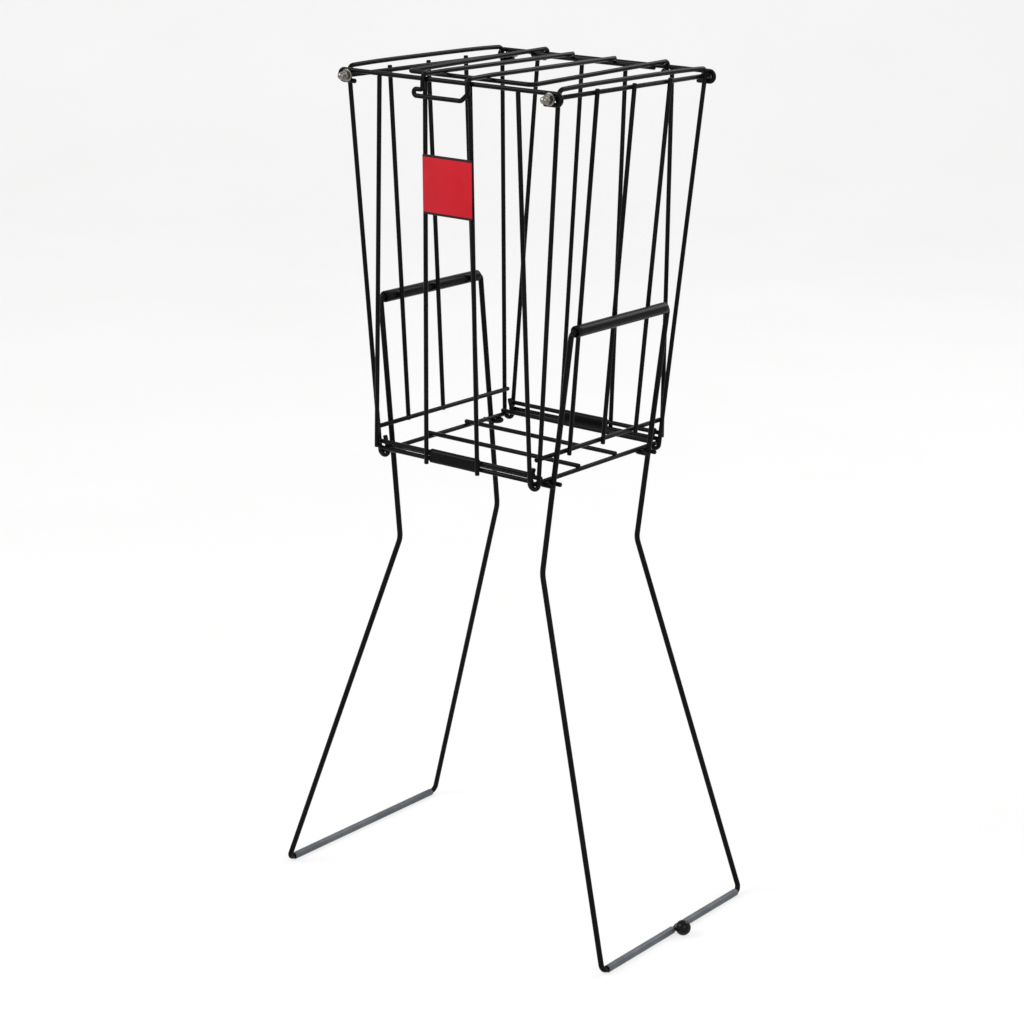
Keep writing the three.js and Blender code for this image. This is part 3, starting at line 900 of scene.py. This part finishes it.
@dataclass(frozen=True)
class SidePanel(FramePanel):
    """Right or left panel: one wire bent into corners and top, three bars, a rail and the rod."""

    hook_rise: float = 15.0
    hook_lean: float = 4.6
    rim_rise: float = 8.0
    rim_bow: float = 1.3
    rim_bend: float = 6.0
    bow_points: int = 17
    rail_overrun: float = 1.5
    bar_head: float = 4.0
    bar_foot: float = 4.0

    def hook(self, end: float) -> Array:
        """Floor hook from its tip: a half circle of the bend radius across the basket, open upwards.

        Args:
            end: 1 for the back hook, -1 for the front one.

        Returns:
            (n, 3) points.
        """
        y, bend_radius = end * BASKET.half_y_bottom, BASKET.hook_bend
        centre_z = BASKET.hook_z + bend_radius
        tip = vec(BASKET.floor_x - bend_radius + self.hook_lean, y, centre_z + self.hook_rise)
        angles = half_circle(math.pi, 2 * math.pi)
        x = BASKET.floor_x + bend_radius * np.cos(angles)
        z = centre_z + bend_radius * np.sin(angles)
        return np.vstack((tip, np.c_[x, np.full(len(angles), y), z]))

    def loop(self) -> Array:
        """The long wire: hook, corner wire, top rim, corner wire, hook.

        The rim bows up by one less the fourth power of the share of the way from its middle.

        Returns:
            (n, 3) points.
        """
        top = BASKET.rod_z + self.rim_rise
        x, corner = BASKET.side_x(top), BASKET.corner_y(top)
        front, back = self.hook(-1), self.hook(1)[::-1]
        shares = np.linspace(-1, 1, self.bow_points)[1:-1]
        middle = np.c_[np.full(len(shares), x), shares * corner, top + self.rim_bow * (1 - shares**4)]
        corners = np.vstack((front, vec(x, -corner, top), middle, vec(x, corner, top), back))
        radii = np.zeros(len(corners) - 2)
        radii[[len(front) - 1, len(front) + len(middle)]] = self.rim_bend
        return bend(corners, radii)

    def make(self) -> None:
        """Builds the panel."""
        shape = Shape()
        self.wire(shape, self.loop())
        rod_reach = BASKET.rim_y + FASTENER.rod_end
        rail_reach = BASKET.corner_y(BASKET.side_rail_z) + self.rail_overrun
        for z, reach, spread in (
            (BASKET.rod_z, rod_reach, BASKET.side_bar_top),
            (BASKET.side_rail_z, rail_reach, BASKET.side_bar_bottom),
        ):
            x, corner = BASKET.side_x(z) - STOCK.weld, BASKET.corner_y(z)
            self.wire(shape, vec(x, -reach, z), vec(x, reach, z))
            for y in (-corner, -spread, 0.0, spread, corner):
                self.bead(shape, vec(x + STOCK.weld / 2, y, z), vec(0, 1, 0), vec(0, 0, 1))
        head_z, toe_z = BASKET.rod_z + self.bar_head, BASKET.side_rail_z - self.bar_foot
        for place in (-1, 0, 1):
            head = vec(BASKET.side_x(head_z), place * BASKET.side_bar_top, head_z)
            self.wire(shape, head, vec(BASKET.side_x(toe_z), place * BASKET.side_bar_bottom, toe_z))
        name = Side(self.turn.value).name.lower()
        self.dress(shape, f"{name}_side_wires", f"{name}_side_panel")


@dataclass(frozen=True)
class FloorGrid(Piece):
    """Floor: two side wires in the corner hooks, cross rods on them, and hairpin leg clips below."""

    rod_spacing: float = 61.0
    rod_count: int = 4
    overrun: float = 2.0
    clip_in: float = 88.0
    clip_out: float = 106.0
    clip_bead: float = 2.07

    def make(self) -> None:
        """Builds the floor."""
        shape = Shape()
        z, rod_z = BASKET.floor_z, BASKET.floor_rod_z
        inner = (np.arange(self.rod_count) - (self.rod_count - 1) / 2) * self.rod_spacing
        end_x, end_y = BASKET.floor_x + self.overrun, BASKET.floor_y + self.overrun
        for y in (-BASKET.floor_y, BASKET.floor_y, *inner):
            shape.line(vec(-end_x, y, rod_z), vec(end_x, y, rod_z))
            for x in (-BASKET.floor_x, BASKET.floor_x):
                shape.bead(vec(x, y, (rod_z + z) / 2), vec(1, 0, 0), vec(0, 1, 0))
        for side in (-1, 1):
            x = side * BASKET.floor_x
            shape.line(vec(x, -end_y, z), vec(x, end_y, z))
            for end in (-1, 1):
                self.clip(shape, side, end * LEGS.half_y)
        self.dress(shape, "floor_wires", "floor_grid")

    def clip(self, shape: Shape, side: float, middle: float) -> None:
        """Adds a hairpin clip, open outwards, with its bend as wide as the leg and its play.

        Args:
            shape: the floor.
            side: 1 for the right side, -1 for the left.
            middle: Y of the leg between its prongs.
        """
        z = BASKET.floor_z - STOCK.weld
        half = STOCK.around_leg + STOCK.basket / 2
        low, high = middle - half, middle + half
        places = ((self.clip_out, low), (self.clip_in, low), (self.clip_in, high), (self.clip_out, high))
        corners = np.array([vec(side * x, y, z) for x, y in places])
        shape.wire(bend(corners, [half - STOCK.bite / 2] * 2))
        for y in (low, high):
            centre = vec(side * BASKET.floor_x, y, z + STOCK.weld / 2)
            shape.bead(centre, vec(1, 0, 0), vec(0, 1, 0), self.clip_bead)


@dataclass(frozen=True)
class FloorBand(Piece):
    """Sheet band round the panel rail and the floor rod below it, between the inner uprights."""

    turn: Turn
    thickness: float = 1.2
    waist: float = 0.12
    waist_reach: float = 0.95
    waist_rows: int = 15
    arc_points: int = 14

    def make(self) -> None:
        """Builds the band: rolled edges, and a shallow waist that follows a parabola along it.

        Its outline is two arcs of one radius round rail and rod, joined by their common tangents.
        """
        inner = STOCK.around
        outer = inner + self.thickness
        half = BASKET.bar_x(BASKET.inner_top, BASKET.inner_bottom, BASKET.rail_z) - STOCK.around
        edge = self.thickness * SOFT
        shares = np.linspace(-self.waist_reach, self.waist_reach, self.waist_rows)
        waist = np.c_[shares * (half - edge), outer - self.waist * (1 - shares**2)]
        first = np.array([(-half, inner + edge), (-half, outer - edge), (edge - half, outer)])
        last = np.array([(half - edge, outer), (half, outer - edge), (half, inner + edge)])
        section = np.vstack((first, waist, last, [(half - edge, inner), (edge - half, inner)]))
        upper = np.array([BASKET.rail_back, BASKET.rail_z])
        lower = np.array([-BASKET.floor_y, BASKET.floor_rod_z])
        tilt = math.atan2(*(upper - lower)[::-1])
        sweep = np.linspace(0, math.pi, self.arc_points)
        angles = np.concatenate((tilt - math.pi / 2 + sweep, tilt + math.pi / 2 + sweep))
        centres = np.repeat([upper, lower], self.arc_points, axis=0)
        outline = centres + section[:, 1, None, None] * np.c_[np.cos(angles), np.sin(angles)]
        along = np.broadcast_to(section[:, 0, None, None], (*outline.shape[:2], 1))
        points = self.turn.place(np.concatenate((along, outline), axis=2))
        shape = Shape()
        shape.grid(points, points[..., [0, 2]] * MM, closed=True)
        name = self.turn.name.lower()
        self.dress(shape, f"{name}_band_sheet", f"{name}_floor_band")


@dataclass(frozen=True)
class CornerFastening(Piece):
    """Washer and cap nut on one end of a side rod, spun a little differently at each corner."""

    turn: Turn
    side: Side
    side_spin: float = 0.35
    turn_spin: float = 0.2
    sides: int = 40
    nut_sides: int = 72
    washer_soft: float = 0.28
    chamfer: float = 0.3
    cone_shares: tuple[float, ...] = (0.97, 1.02)
    cone_depths: tuple[float, ...] = (0.0, 0.16, 0.75)
    fillet: float = 0.2
    collar: float = 1.02
    dome_rings: int = 12
    uv_step: float = 0.0005

    def make(self) -> None:
        """Builds the washer and the nut."""
        x = self.side.value * self.turn.value
        corner = f"{self.turn.name}_{self.side.name}".lower()
        origin = self.turn.place(vec(x * BASKET.rod_x, -BASKET.rim_y, BASKET.rod_z))
        spin = self.side_spin * x + self.turn_spin * self.turn.value
        axis, first = vec(0, -self.turn.value, 0), vec(math.cos(spin), 0, math.sin(spin))
        basis = np.array([axis, first, np.cross(axis, first)])
        for shape, name, node in (
            (self.washer(basis, origin), f"washer_{corner}", f"corner_washer_{corner}"),
            (self.nut(basis, origin), f"cap_nut_{corner}", f"corner_cap_nut_{corner}"),
        ):
            self.dress(shape, name, node, slot="zinc_plate")

    def washer(self, basis: Array, origin: Array) -> Shape:
        """Washer with rolled edges.

        Args:
            basis: axis and radial directions.
            origin: the rod's axis in the rim hook's plane.

        Returns:
            The shape.
        """
        bore, rim, face = STOCK.around, FASTENER.washer_d / 2, STOCK.around
        soft = FASTENER.washer_t * self.washer_soft
        inside = [(bore, soft / 2), (bore + soft / 2, 0), (rim - soft, 0)]
        lip = np.array([*inside, (rim - soft * SOFT, soft * SOFT), (rim, soft)])
        shape = Shape()
        profile = tube_profile(lip, np.empty((0, 2)), face, face + FASTENER.washer_t)
        shape.turned(profile, basis, origin, self.sides, True)
        return shape

    def nut(self, basis: Array, origin: Array) -> Shape:
        """Cap nut: a bore, a hexagon whose corners are chamfered by a cone, and a domed cap.

        The hexagon's radius at an angle is half of the flats divided by the cosine of the angle from the
        nearest flat, and the chamfered radius is the smaller of that and the cone's.

        Args:
            basis: axis and radial directions.
            origin: the rod's axis in the rim hook's plane.

        Returns:
            The shape.
        """
        bore, roof = STOCK.around, FASTENER.length - FASTENER.roof
        half, high, tip = FASTENER.flats / 2, FASTENER.hex_h, FASTENER.flats / math.sqrt(3)
        dome, shoulder = FASTENER.dome_d / 2, FASTENER.length - FASTENER.dome_d / 2
        angles = 2 * math.pi * np.arange(self.nut_sides) / self.nut_sides
        sixth = math.pi / 3
        hexagon = half / np.cos((angles + sixth / 2) % sixth - sixth / 2)
        hole = [(AXIS_HOLE, roof), (bore, roof), (bore, self.chamfer), (bore + self.chamfer, 0)]
        cone = np.c_[[*(half * share for share in self.cone_shares), tip], self.cone_depths]
        cones = np.vstack((cone, np.c_[cone[:, 0], high - cone[:, 1]][::-1]))
        rise = np.linspace(0, math.pi / 2, self.dome_rings)
        cap = np.c_[np.maximum(dome * np.cos(rise), AXIS_HOLE), shoulder + dome * np.sin(rise)]
        neck = [(dome * self.collar, high), (dome, high + self.fillet)]
        radii = np.vstack((hole, cones, neck, cap))
        rings = np.repeat(radii[:, :1], self.nut_sides, axis=1)
        hexed = slice(len(hole), len(hole) + len(cones))
        rings[hexed] = np.minimum(rings[hexed], hexagon)
        spokes = np.cos(angles)[:, None] * basis[1] + np.sin(angles)[:, None] * basis[2]
        heights = FASTENER.nut_face + radii[:, 1, None, None]
        around, place = np.meshgrid(angles / (2 * math.pi), np.arange(len(rings)) * self.uv_step)
        shape = Shape()
        points = origin + heights * basis[0] + rings[..., None] * spokes
        shape.grid(points, np.dstack((around, place)), caps=True)
        return shape


@dataclass(frozen=True)
class HingeTube(Piece):
    """Tube outside a side panel: rolled lips, and a weld bead at each of the three bars."""

    side: Side
    clearance: float = 0.35
    lip: float = 0.7
    bore_break: tuple[float, float] = (0.3, 0.15)
    rim_break: float = 0.2
    margin: float = 6.0
    rows: int = 13
    sides: int = 40
    bead: float = 2.0

    def make(self) -> None:
        """Builds the tube."""
        bore, outer, half = STOCK.leg / 2 + self.clearance, LEGS.tube_d / 2, LEGS.tube_half
        lip = [(bore, self.lip), (bore + self.bore_break[0], self.bore_break[1]), (bore + self.lip, 0)]
        lip += [(outer - self.lip, 0), (outer - self.rim_break, self.rim_break), (outer, self.lip)]
        places = np.linspace(self.margin - half, half - self.margin, self.rows)
        profile = tube_profile(np.array(lip), np.c_[np.full(self.rows, outer), places], -half, half)
        shape = Shape()
        origin = vec(self.side.value * LEGS.hinge_x, 0, LEGS.hinge_z)
        shape.turned(profile, ALONG_Y, origin, self.sides, True)
        share = (BASKET.rod_z - LEGS.hinge_z) / (BASKET.rod_z - BASKET.side_rail_z)
        spread = BASKET.side_bar_top + (BASKET.side_bar_bottom - BASKET.side_bar_top) * share
        contact = BASKET.side_x(LEGS.hinge_z) + STOCK.basket / 2 + STOCK.gap / 2
        for place in (-spread, 0.0, spread):
            centre = vec(self.side.value * contact, place, LEGS.hinge_z)
            shape.bead(centre, vec(0, 1, 0), vec(0, 0, 1), self.bead)
        name = self.side.name.lower()
        self.dress(shape, f"{name}_tube", f"{name}_hinge_tube")


@dataclass(frozen=True)
class LegLoop(Piece):
    """One bent leg: ends in the hinge tube, uprights, kink, outward run and foot bar."""

    side: Side
    insertion: float = 30.0
    shoulder: float = 5.4
    kink_z: float = 375.4
    kink_x: float = 90.1
    kink_bend: float = 24.0
    foot_bend: float = 6.5
    stud_reach: float = 1.5
    stud_break: float = 0.4
    stud_root: float = 0.1
    stud_sides: int = 20

    def centreline(self) -> Array:
        """Corners of the loop, bent with the shoulder, kink and foot radii.

        Returns:
            (n, 3) points.
        """
        sign, half_y = self.side.value, LEGS.half_y
        half = np.array(
            [
                vec(sign * LEGS.hinge_x, LEGS.tube_half - self.insertion, LEGS.hinge_z),
                vec(sign * LEGS.hinge_x, half_y, LEGS.hinge_z),
                vec(sign * self.kink_x, half_y, self.kink_z),
                vec(sign * LEGS.foot_x, LEGS.foot_y, LEGS.foot_z),
            ]
        )
        radii = [self.shoulder, self.kink_bend, self.foot_bend]
        return bend(np.vstack((half * vec(1, -1, 1), half[::-1])), radii + radii[::-1])

    def make(self) -> None:
        """Builds the loop, with the knob's stud on the right one."""
        shape = Shape()
        shape.wire(self.centreline(), STOCK.leg, STOCK.leg_sides)
        if self.side is Side.RIGHT:
            radius, end, soft = LEGS.stud_d / 2, LEGS.standoff + self.stud_reach, self.stud_break
            profile = [(AXIS_HOLE, 0), (radius, self.stud_root), (radius, end - soft)]
            profile += [(radius - soft, end), (AXIS_HOLE, end)]
            shape.turned(np.array(profile), *LEGS.knob_frame(), self.stud_sides)
        name = self.side.name.lower()
        self.dress(shape, f"{name}_leg_wire", f"{name}_leg_loop", f"{name}_leg")


@dataclass(frozen=True)
class FootGrip(Piece):
    """A sleeve on a foot bar, with softly rounded ends and a faint ripple along it."""

    node: str
    side: Side
    start: float
    end: float
    lip_share: float = 0.48
    margin: float = 3.0
    row_length: float = 6.0
    least_rows: int = 6
    ripple: float = 0.03
    ripple_waves: float = 0.35
    sides: int = 32

    def make(self) -> None:
        """Builds the sleeve: its outside dips by the ripple times a squared sine."""
        bore, outer = STOCK.around_leg, LEGS.grip_d / 2
        lip = (outer - bore) * self.lip_share
        soft = lip * SOFT
        ends = [(bore, lip), (bore + soft, soft), (bore + lip, 0)]
        ends += [(outer - lip, 0), (outer - soft, soft), (outer, lip)]
        rows = max(self.least_rows, int((self.end - self.start) / self.row_length))
        places = np.linspace(self.start + self.margin, self.end - self.margin, rows)
        middle = np.c_[outer - self.ripple * np.sin(places * self.ripple_waves) ** 2, places]
        profile = tube_profile(np.array(ends), middle, self.start, self.end)
        shape = Shape()
        origin = vec(self.side.value * LEGS.foot_x, 0, LEGS.foot_z)
        shape.turned(profile, ALONG_Y, origin, self.sides, True)
        body = f"{self.side.name.lower()}_leg"
        self.dress(shape, f"{self.node}_sleeve", self.node, body, "grip_grey")


@dataclass(frozen=True)
class HandleKnob(Piece):
    """Ball knob on the right foot bar's stud, with a fine mould line round its middle."""

    bore_depth: float = 10.0
    line_height: float = 0.12
    line_width: float = 0.03
    rows: int = 44
    sides: int = 56

    def make(self) -> None:
        """Builds the knob: a sphere whose radius swells by a bell curve of the angle at its middle."""
        radius, bore = LEGS.knob_d / 2, LEGS.stud_d / 2 + STOCK.gap
        angles = np.linspace(math.asin(bore / radius), math.pi, self.rows)
        swell = np.exp(-(((angles - math.pi / 2) / self.line_width) ** 2))
        size = radius - self.line_height * (1 - swell)
        ball = np.c_[np.maximum(size * np.sin(angles), AXIS_HOLE), LEGS.standoff - size * np.cos(angles)]
        deep = LEGS.standoff - radius + self.bore_depth
        shape = Shape()
        profile = np.vstack(([(AXIS_HOLE, deep), (bore, deep)], ball))
        shape.turned(profile, *LEGS.knob_frame(), self.sides)
        self.dress(shape, "knob_ball", "right_handle_knob", "right_leg", "knob_black")


@dataclass(frozen=True)
class WireLid(Piece):
    """Lid frame curled round the back rim, and the latch wire that rides on it."""

    half_x: float = 74.0
    reach: float = 214.6
    drop: float = 4.3
    corner: float = 6.0
    curl: float = math.radians(228)
    curl_points: int = 32
    cross: float = 19.7
    cross_overrun: float = 1.5
    latch_half: float = 25.7
    latch_shift: float = 2.6
    tail: float = 3.0
    shoulder: float = 4.6
    limb_drop: float = 9.6
    tab_reach: float = 10.4
    tab_bend: float = 3.1
    bar_drop: float = 15.9
    ramp_run: float = 8.0
    ramp_rise: float = 7.0
    ramp_bend: float = 5.0

    @property
    def cross_z(self) -> float:
        """Height of the cross wire above the back rim, welded under the lid's side wires."""
        return STOCK.pitch - self.drop * self.cross / self.reach - STOCK.weld

    @staticmethod
    def place(points: Array) -> Array:
        """Moves points measured from the back rim to the basket's frame."""
        return points + vec(0, BASKET.rim_y, BASKET.rim_z)

    def frame_line(self) -> Array:
        """The lid's long wire: curl, side, front, side, curl.

        A curl is an arc of one pitch round the back rim, from under it to its top.

        Returns:
            (n, 3) points, from the back rim.
        """
        angles = math.pi / 2 - np.linspace(self.curl, 0, self.curl_points)
        round_rim = STOCK.pitch * np.c_[np.cos(angles), np.sin(angles)]
        arc = np.c_[np.full(self.curl_points, self.half_x), round_rim]
        near = vec(self.half_x, 0, STOCK.pitch)
        far = vec(self.half_x, -self.reach, STOCK.pitch - self.drop)
        mirror = vec(-1, 1, 1)
        front = bend(np.array([near * mirror, far * mirror, far, near]), [self.corner] * 2)
        return np.vstack((arc * mirror, front[1:-1], arc[::-1]))

    def latch_line(self) -> Array:
        """The latch wire: limb, thumb tab on the left, bar under the rim, ramp and limb.

        Returns:
            (n, 3) points, from the back rim.
        """
        plane = -2 * BASKET.rim_y - STOCK.pitch
        tail_y, tail_z = self.tail - self.cross, self.cross_z + STOCK.pitch
        lid_z = 2 * STOCK.pitch - self.drop
        left, right = -self.latch_half, self.latch_half + self.latch_shift
        tab = left - self.tab_reach
        corners = np.array(
            [
                (left, tail_y, tail_z),
                (left, -self.reach, lid_z),
                (left, plane, STOCK.pitch),
                (left, plane, -self.limb_drop),
                (tab, plane, -self.limb_drop),
                (tab, plane, -self.bar_drop),
                (right - self.ramp_run, plane, -self.bar_drop),
                (right, plane, self.ramp_rise - self.bar_drop),
                (right, plane, STOCK.pitch),
                (self.latch_half, -self.reach, lid_z),
                (self.latch_half, tail_y, tail_z),
            ]
        )
        radii = [STOCK.basket, self.shoulder, *[self.tab_bend] * 3]
        return bend(corners, [*radii, *[self.ramp_bend] * 2, self.shoulder, STOCK.basket])

    def make(self) -> None:
        """Builds the lid and the latch wire."""
        frame = Shape()
        frame.wire(self.place(self.frame_line()))
        end = self.half_x + self.cross_overrun
        frame.line(*(self.place(vec(x, -self.cross, self.cross_z)) for x in (-end, end)))
        for x in (-self.half_x, self.half_x):
            centre = self.place(vec(x, -self.cross, self.cross_z + STOCK.weld / 2))
            frame.bead(centre, vec(1, 0, 0), vec(0, 1, 0))
        self.dress(frame, "lid_wires", "lid_frame", "lid")
        latch = Shape()
        latch.wire(self.place(self.latch_line()))
        self.dress(latch, "latch_wire", "lid_latch_wire", "lid")


@dataclass(frozen=True)
class NamePlate(Piece):
    """Blank sheet plate on the two inner front bars, with rounded corners and softened edges."""

    width: float = 58.9
    height: float = PLATE_HEIGHT
    thickness: float = 1.0
    shift: float = 0.9
    centre_z: float = 747.1
    corner: float = 1.5
    corner_points: int = 8

    def outline(self, insets: Array) -> Array:
        """Rectangles with rounded corners: each corner is a quarter circle round its own centre.

        Args:
            insets: how far each rectangle lies inside the plate's edge.

        Returns:
            (len(insets), n, 2) points in the plate's plane.
        """
        radius = (self.corner - insets / 2)[:, None, None]
        half = np.array([self.width, self.height]) / 2 - insets[:, None, None]
        signs = np.repeat([(1, -1), (1, 1), (-1, 1), (-1, -1)], self.corner_points, axis=0)
        quarter = np.linspace(0, math.pi / 2, self.corner_points)
        angles = (math.pi / 2 * np.arange(-1, 3)[:, None] + quarter).ravel()
        return signs * (half - radius) + radius * np.c_[np.cos(angles), np.sin(angles)]

    def make(self) -> None:
        """Builds the plate.

        The plate leans with the front bars: its lean is the angle whose tangent is the panel's run in
        depth over its height.
        """
        lean = math.atan2(BASKET.rim_y - BASKET.panel_y_low, BASKET.rim_z - BASKET.rail_z)
        upward = vec(0, -math.sin(lean), math.cos(lean))
        outward = vec(0, -math.cos(lean), -math.sin(lean))
        standoff = STOCK.around / math.cos(lean)
        origin = vec(self.shift, -BASKET.panel_y(self.centre_z) - standoff, self.centre_z)
        soft = self.thickness * SOFT
        edge = np.array([(soft, 0.0), (soft * SOFT, soft * SOFT), (0.0, soft)])
        levels = np.vstack((edge, np.c_[edge[:, 0], self.thickness - edge[:, 1]][::-1]))
        rings = self.outline(levels[:, 0])
        flat = rings[..., :1] * vec(1, 0, 0) + rings[..., 1:] * upward
        shape = Shape()
        uv = rings / np.array([self.width, self.height]) + 0.5
        shape.grid(origin + flat + levels[:, 1, None, None] * outward, uv, caps=True)
        self.dress(shape, "front_plate", "name_plate", slot="plate_red")


# ---------------------------------------------------------------- studio


@dataclass(frozen=True)
class View:
    """The photograph's camera, in degrees, millimetres and pixels."""

    azimuth: float = 37.454
    pitch: float = 16.627
    roll: float = 1.148
    focal: float = 2551.822
    target: tuple[float, float, float] = (194.90, -266.68, 496.99)
    distance: float = 2234.752
    foot_z: float = 3.8
    sensor: float = 36.0
    clip: tuple[float, float] = (0.05, 60.0)

    def make(self) -> None:
        """Sets the camera.

        The viewing direction comes from the azimuth, measured from -Y towards +X, and the pitch. The
        lens is the focal length in pixels over the frame's width, times the sensor's width.
        """
        azimuth, pitch, roll = np.radians([self.azimuth, self.pitch, self.roll])
        level = math.cos(pitch)
        ahead = vec(-math.sin(azimuth) * level, math.cos(azimuth) * level, -math.sin(pitch))
        flat = vec(math.cos(azimuth), math.sin(azimuth), 0)
        rise = np.cross(flat, ahead)
        right = flat * math.cos(roll) + rise * math.sin(roll)
        up = rise * math.cos(roll) - flat * math.sin(roll)
        place = (np.array(self.target) + vec(SHIFT_X, 0, self.foot_z) - ahead * self.distance) * MM
        data = bpy.data.cameras.new("camera")
        data.sensor_width, data.sensor_fit = self.sensor, "HORIZONTAL"
        data.lens = self.focal / FRAME_PIXELS * self.sensor
        data.clip_start, data.clip_end = self.clip
        obj = bpy.data.objects.new("camera", data)
        rows = np.vstack((np.column_stack((right, up, -ahead, place)), (0, 0, 0, 1)))
        obj.matrix_world = Matrix(rows.tolist())
        bpy.context.scene.collection.objects.link(obj)
        bpy.context.scene.camera = obj


@dataclass(frozen=True)
class Lamp:
    """A square soft lamp, in metres and watts, that looks at the object's middle."""

    name: str
    place: tuple[float, float, float]
    size: float
    power: float
    aim: tuple[float, float, float] = (0.0, 0.0, 0.45)

    def make(self) -> None:
        """Hangs the lamp."""
        data = bpy.data.lights.new(self.name, "AREA")
        data.shape, data.size, data.energy = "SQUARE", self.size, self.power
        obj = bpy.data.objects.new(self.name, data)
        obj.location = self.place
        towards = Vector(self.aim) - Vector(self.place)
        obj.rotation_euler = towards.to_track_quat("-Z", "Y").to_euler()
        bpy.context.scene.collection.objects.link(obj)


@dataclass(frozen=True)
class Studio:
    """Pale floor that turns up into a backdrop, soft lamps and a pale world, in metres."""

    lamps: tuple[Lamp, ...] = (
        Lamp("key", (-1.6, -2.2, 2.6), 1.6, 62),
        Lamp("fill", (2.6, -1.4, 1.8), 1.8, 30),
        Lamp("rim", (0.6, 2.6, 2.4), 1.6, 34),
    )
    cove_radius: float = 1.2
    cove_points: int = 12
    cove_start: float = 0.1
    half_width: float = 9.0
    front: float = -7.0
    back: float = 5.0
    top: float = 7.0
    heading: float = math.radians(36.7)
    grey: Stops = ((0.3, (0.80, 0.80, 0.79)), (0.7, (0.86, 0.86, 0.86)))
    mottle: Waves = Waves(3, 4)
    floor_roughness: float = 0.9
    glow: float = 1.06
    glow_share: float = 0.68
    world_level: float = 0.55

    def make(self) -> None:
        """Lays the floor and lights it."""
        self.floor()
        for lamp in self.lamps:
            lamp.make()
        self.world()

    def floor(self) -> None:
        """The floor: a flat run, a quarter circle and an upright run, swept sideways."""
        radius = self.cove_radius
        angles = np.linspace(self.cove_start, math.pi / 2, self.cove_points)
        cove = np.c_[self.back - radius + radius * np.sin(angles), radius - radius * np.cos(angles)]
        profile = np.vstack(([(self.front, 0), (self.back - radius, 0)], cove, [(self.back, self.top)]))
        sides = np.tile([-self.half_width, self.half_width], len(profile))
        points = np.c_[sides, np.repeat(profile, 2, axis=0)]
        faces = 2 * np.arange(len(profile) - 1)[:, None] + np.array([0, 1, 3, 2])
        mesh = bpy.data.meshes.new("studio_floor")
        mesh.from_pydata(points.tolist(), [], faces.tolist())
        mesh.transform(Matrix.Rotation(self.heading, 4, "Z"))
        mesh.shade_smooth()
        mesh.materials.append(self.floor_material())
        obj = bpy.data.objects.new("studio_floor", mesh)
        bpy.context.scene.collection.objects.link(obj)

    def floor_material(self) -> Material:
        """Pale matt floor that takes shadows and mostly glows white to the camera's rays.

        Returns:
            The material.
        """
        made = bpy.data.materials.new("studio_floor")
        made.use_nodes = True
        tree = made.node_tree
        shader = tree.nodes["Principled BSDF"]
        tint = ramp(tree, noise(tree, self.mottle), self.grey)
        feed(tree, shader, {"Roughness": self.floor_roughness, "Base Color": tint})
        glow = add(tree, "ShaderNodeEmission", {"Strength": self.glow}).outputs["Emission"]
        share = worked(tree, "MULTIPLY", self.seen(tree), self.glow_share)
        blend = add(tree, "ShaderNodeMixShader", {"Fac": share, 1: shader.outputs["BSDF"], 2: glow})
        feed(tree, tree.nodes["Material Output"], {"Surface": blend.outputs["Shader"]})
        return made

    @staticmethod
    def seen(tree: Tree) -> Socket:
        """1 for camera, glossy and transmission rays, and 0 for the others.

        Args:
            tree: node tree.

        Returns:
            The value.
        """
        rays = add(tree, "ShaderNodeLightPath", {}).outputs
        either = worked(tree, "MAXIMUM", rays["Is Camera Ray"], rays["Is Glossy Ray"])
        return worked(tree, "MAXIMUM", either, rays["Is Transmission Ray"])

    def world(self) -> None:
        """A pale world that the camera sees as white."""
        world = bpy.data.worlds.new("studio")
        bpy.context.scene.world = world
        world.use_nodes = True
        tree = world.node_tree
        level = ranged(tree, self.seen(tree), (0.0, 1.0), (self.world_level, 1.0))
        feed(tree, tree.nodes["Background"], {"Strength": level, "Color": (1, 1, 1, 1)})


# ---------------------------------------------------------------- whole


@dataclass(frozen=True)
class Hopper:
    """The dressed hopper."""

    finishes: dict[str, Material]

    def pieces(self) -> list[Piece]:
        """Every sub-assembly of the object.

        Returns:
            The sub-assemblies, in the order they are built.
        """
        finishes = self.finishes
        front, back = LEGS.grip_front - LEGS.foot_y, LEGS.foot_y - LEGS.grip_back
        made = [EndPanel(finishes, turn) for turn in Turn] + [SidePanel(finishes, turn) for turn in Turn]
        made += [FloorGrid(finishes)] + [FloorBand(finishes, turn) for turn in Turn]
        made += [CornerFastening(finishes, turn, Side(x * turn.value)) for turn in Turn for x in (-1, 1)]
        made += [HingeTube(finishes, side) for side in Side] + [LegLoop(finishes, side) for side in Side]
        return made + [
            FootGrip(finishes, "right_front_grip", Side.RIGHT, front, LEGS.knob_y - LEGS.bare_half),
            FootGrip(finishes, "right_back_grip", Side.RIGHT, LEGS.knob_y + LEGS.bare_half, back),
            FootGrip(finishes, "left_grip", Side.LEFT, front, back),
            HandleKnob(finishes),
            WireLid(finishes),
            NamePlate(finishes),
        ]

    def make(self) -> None:
        """Builds every piece."""
        for piece in self.pieces():
            piece.make()


def main() -> None:
    """Builds the scene."""
    bpy.context.scene.view_settings.view_transform = "Standard"
    for obj in list(bpy.data.objects):
        if obj.type in ("LIGHT", "CAMERA"):
            bpy.data.objects.remove(obj)
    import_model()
    View().make()
    Studio().make()
    Hopper(make_finishes()).make()


if __name__ == "__main__":
    main()
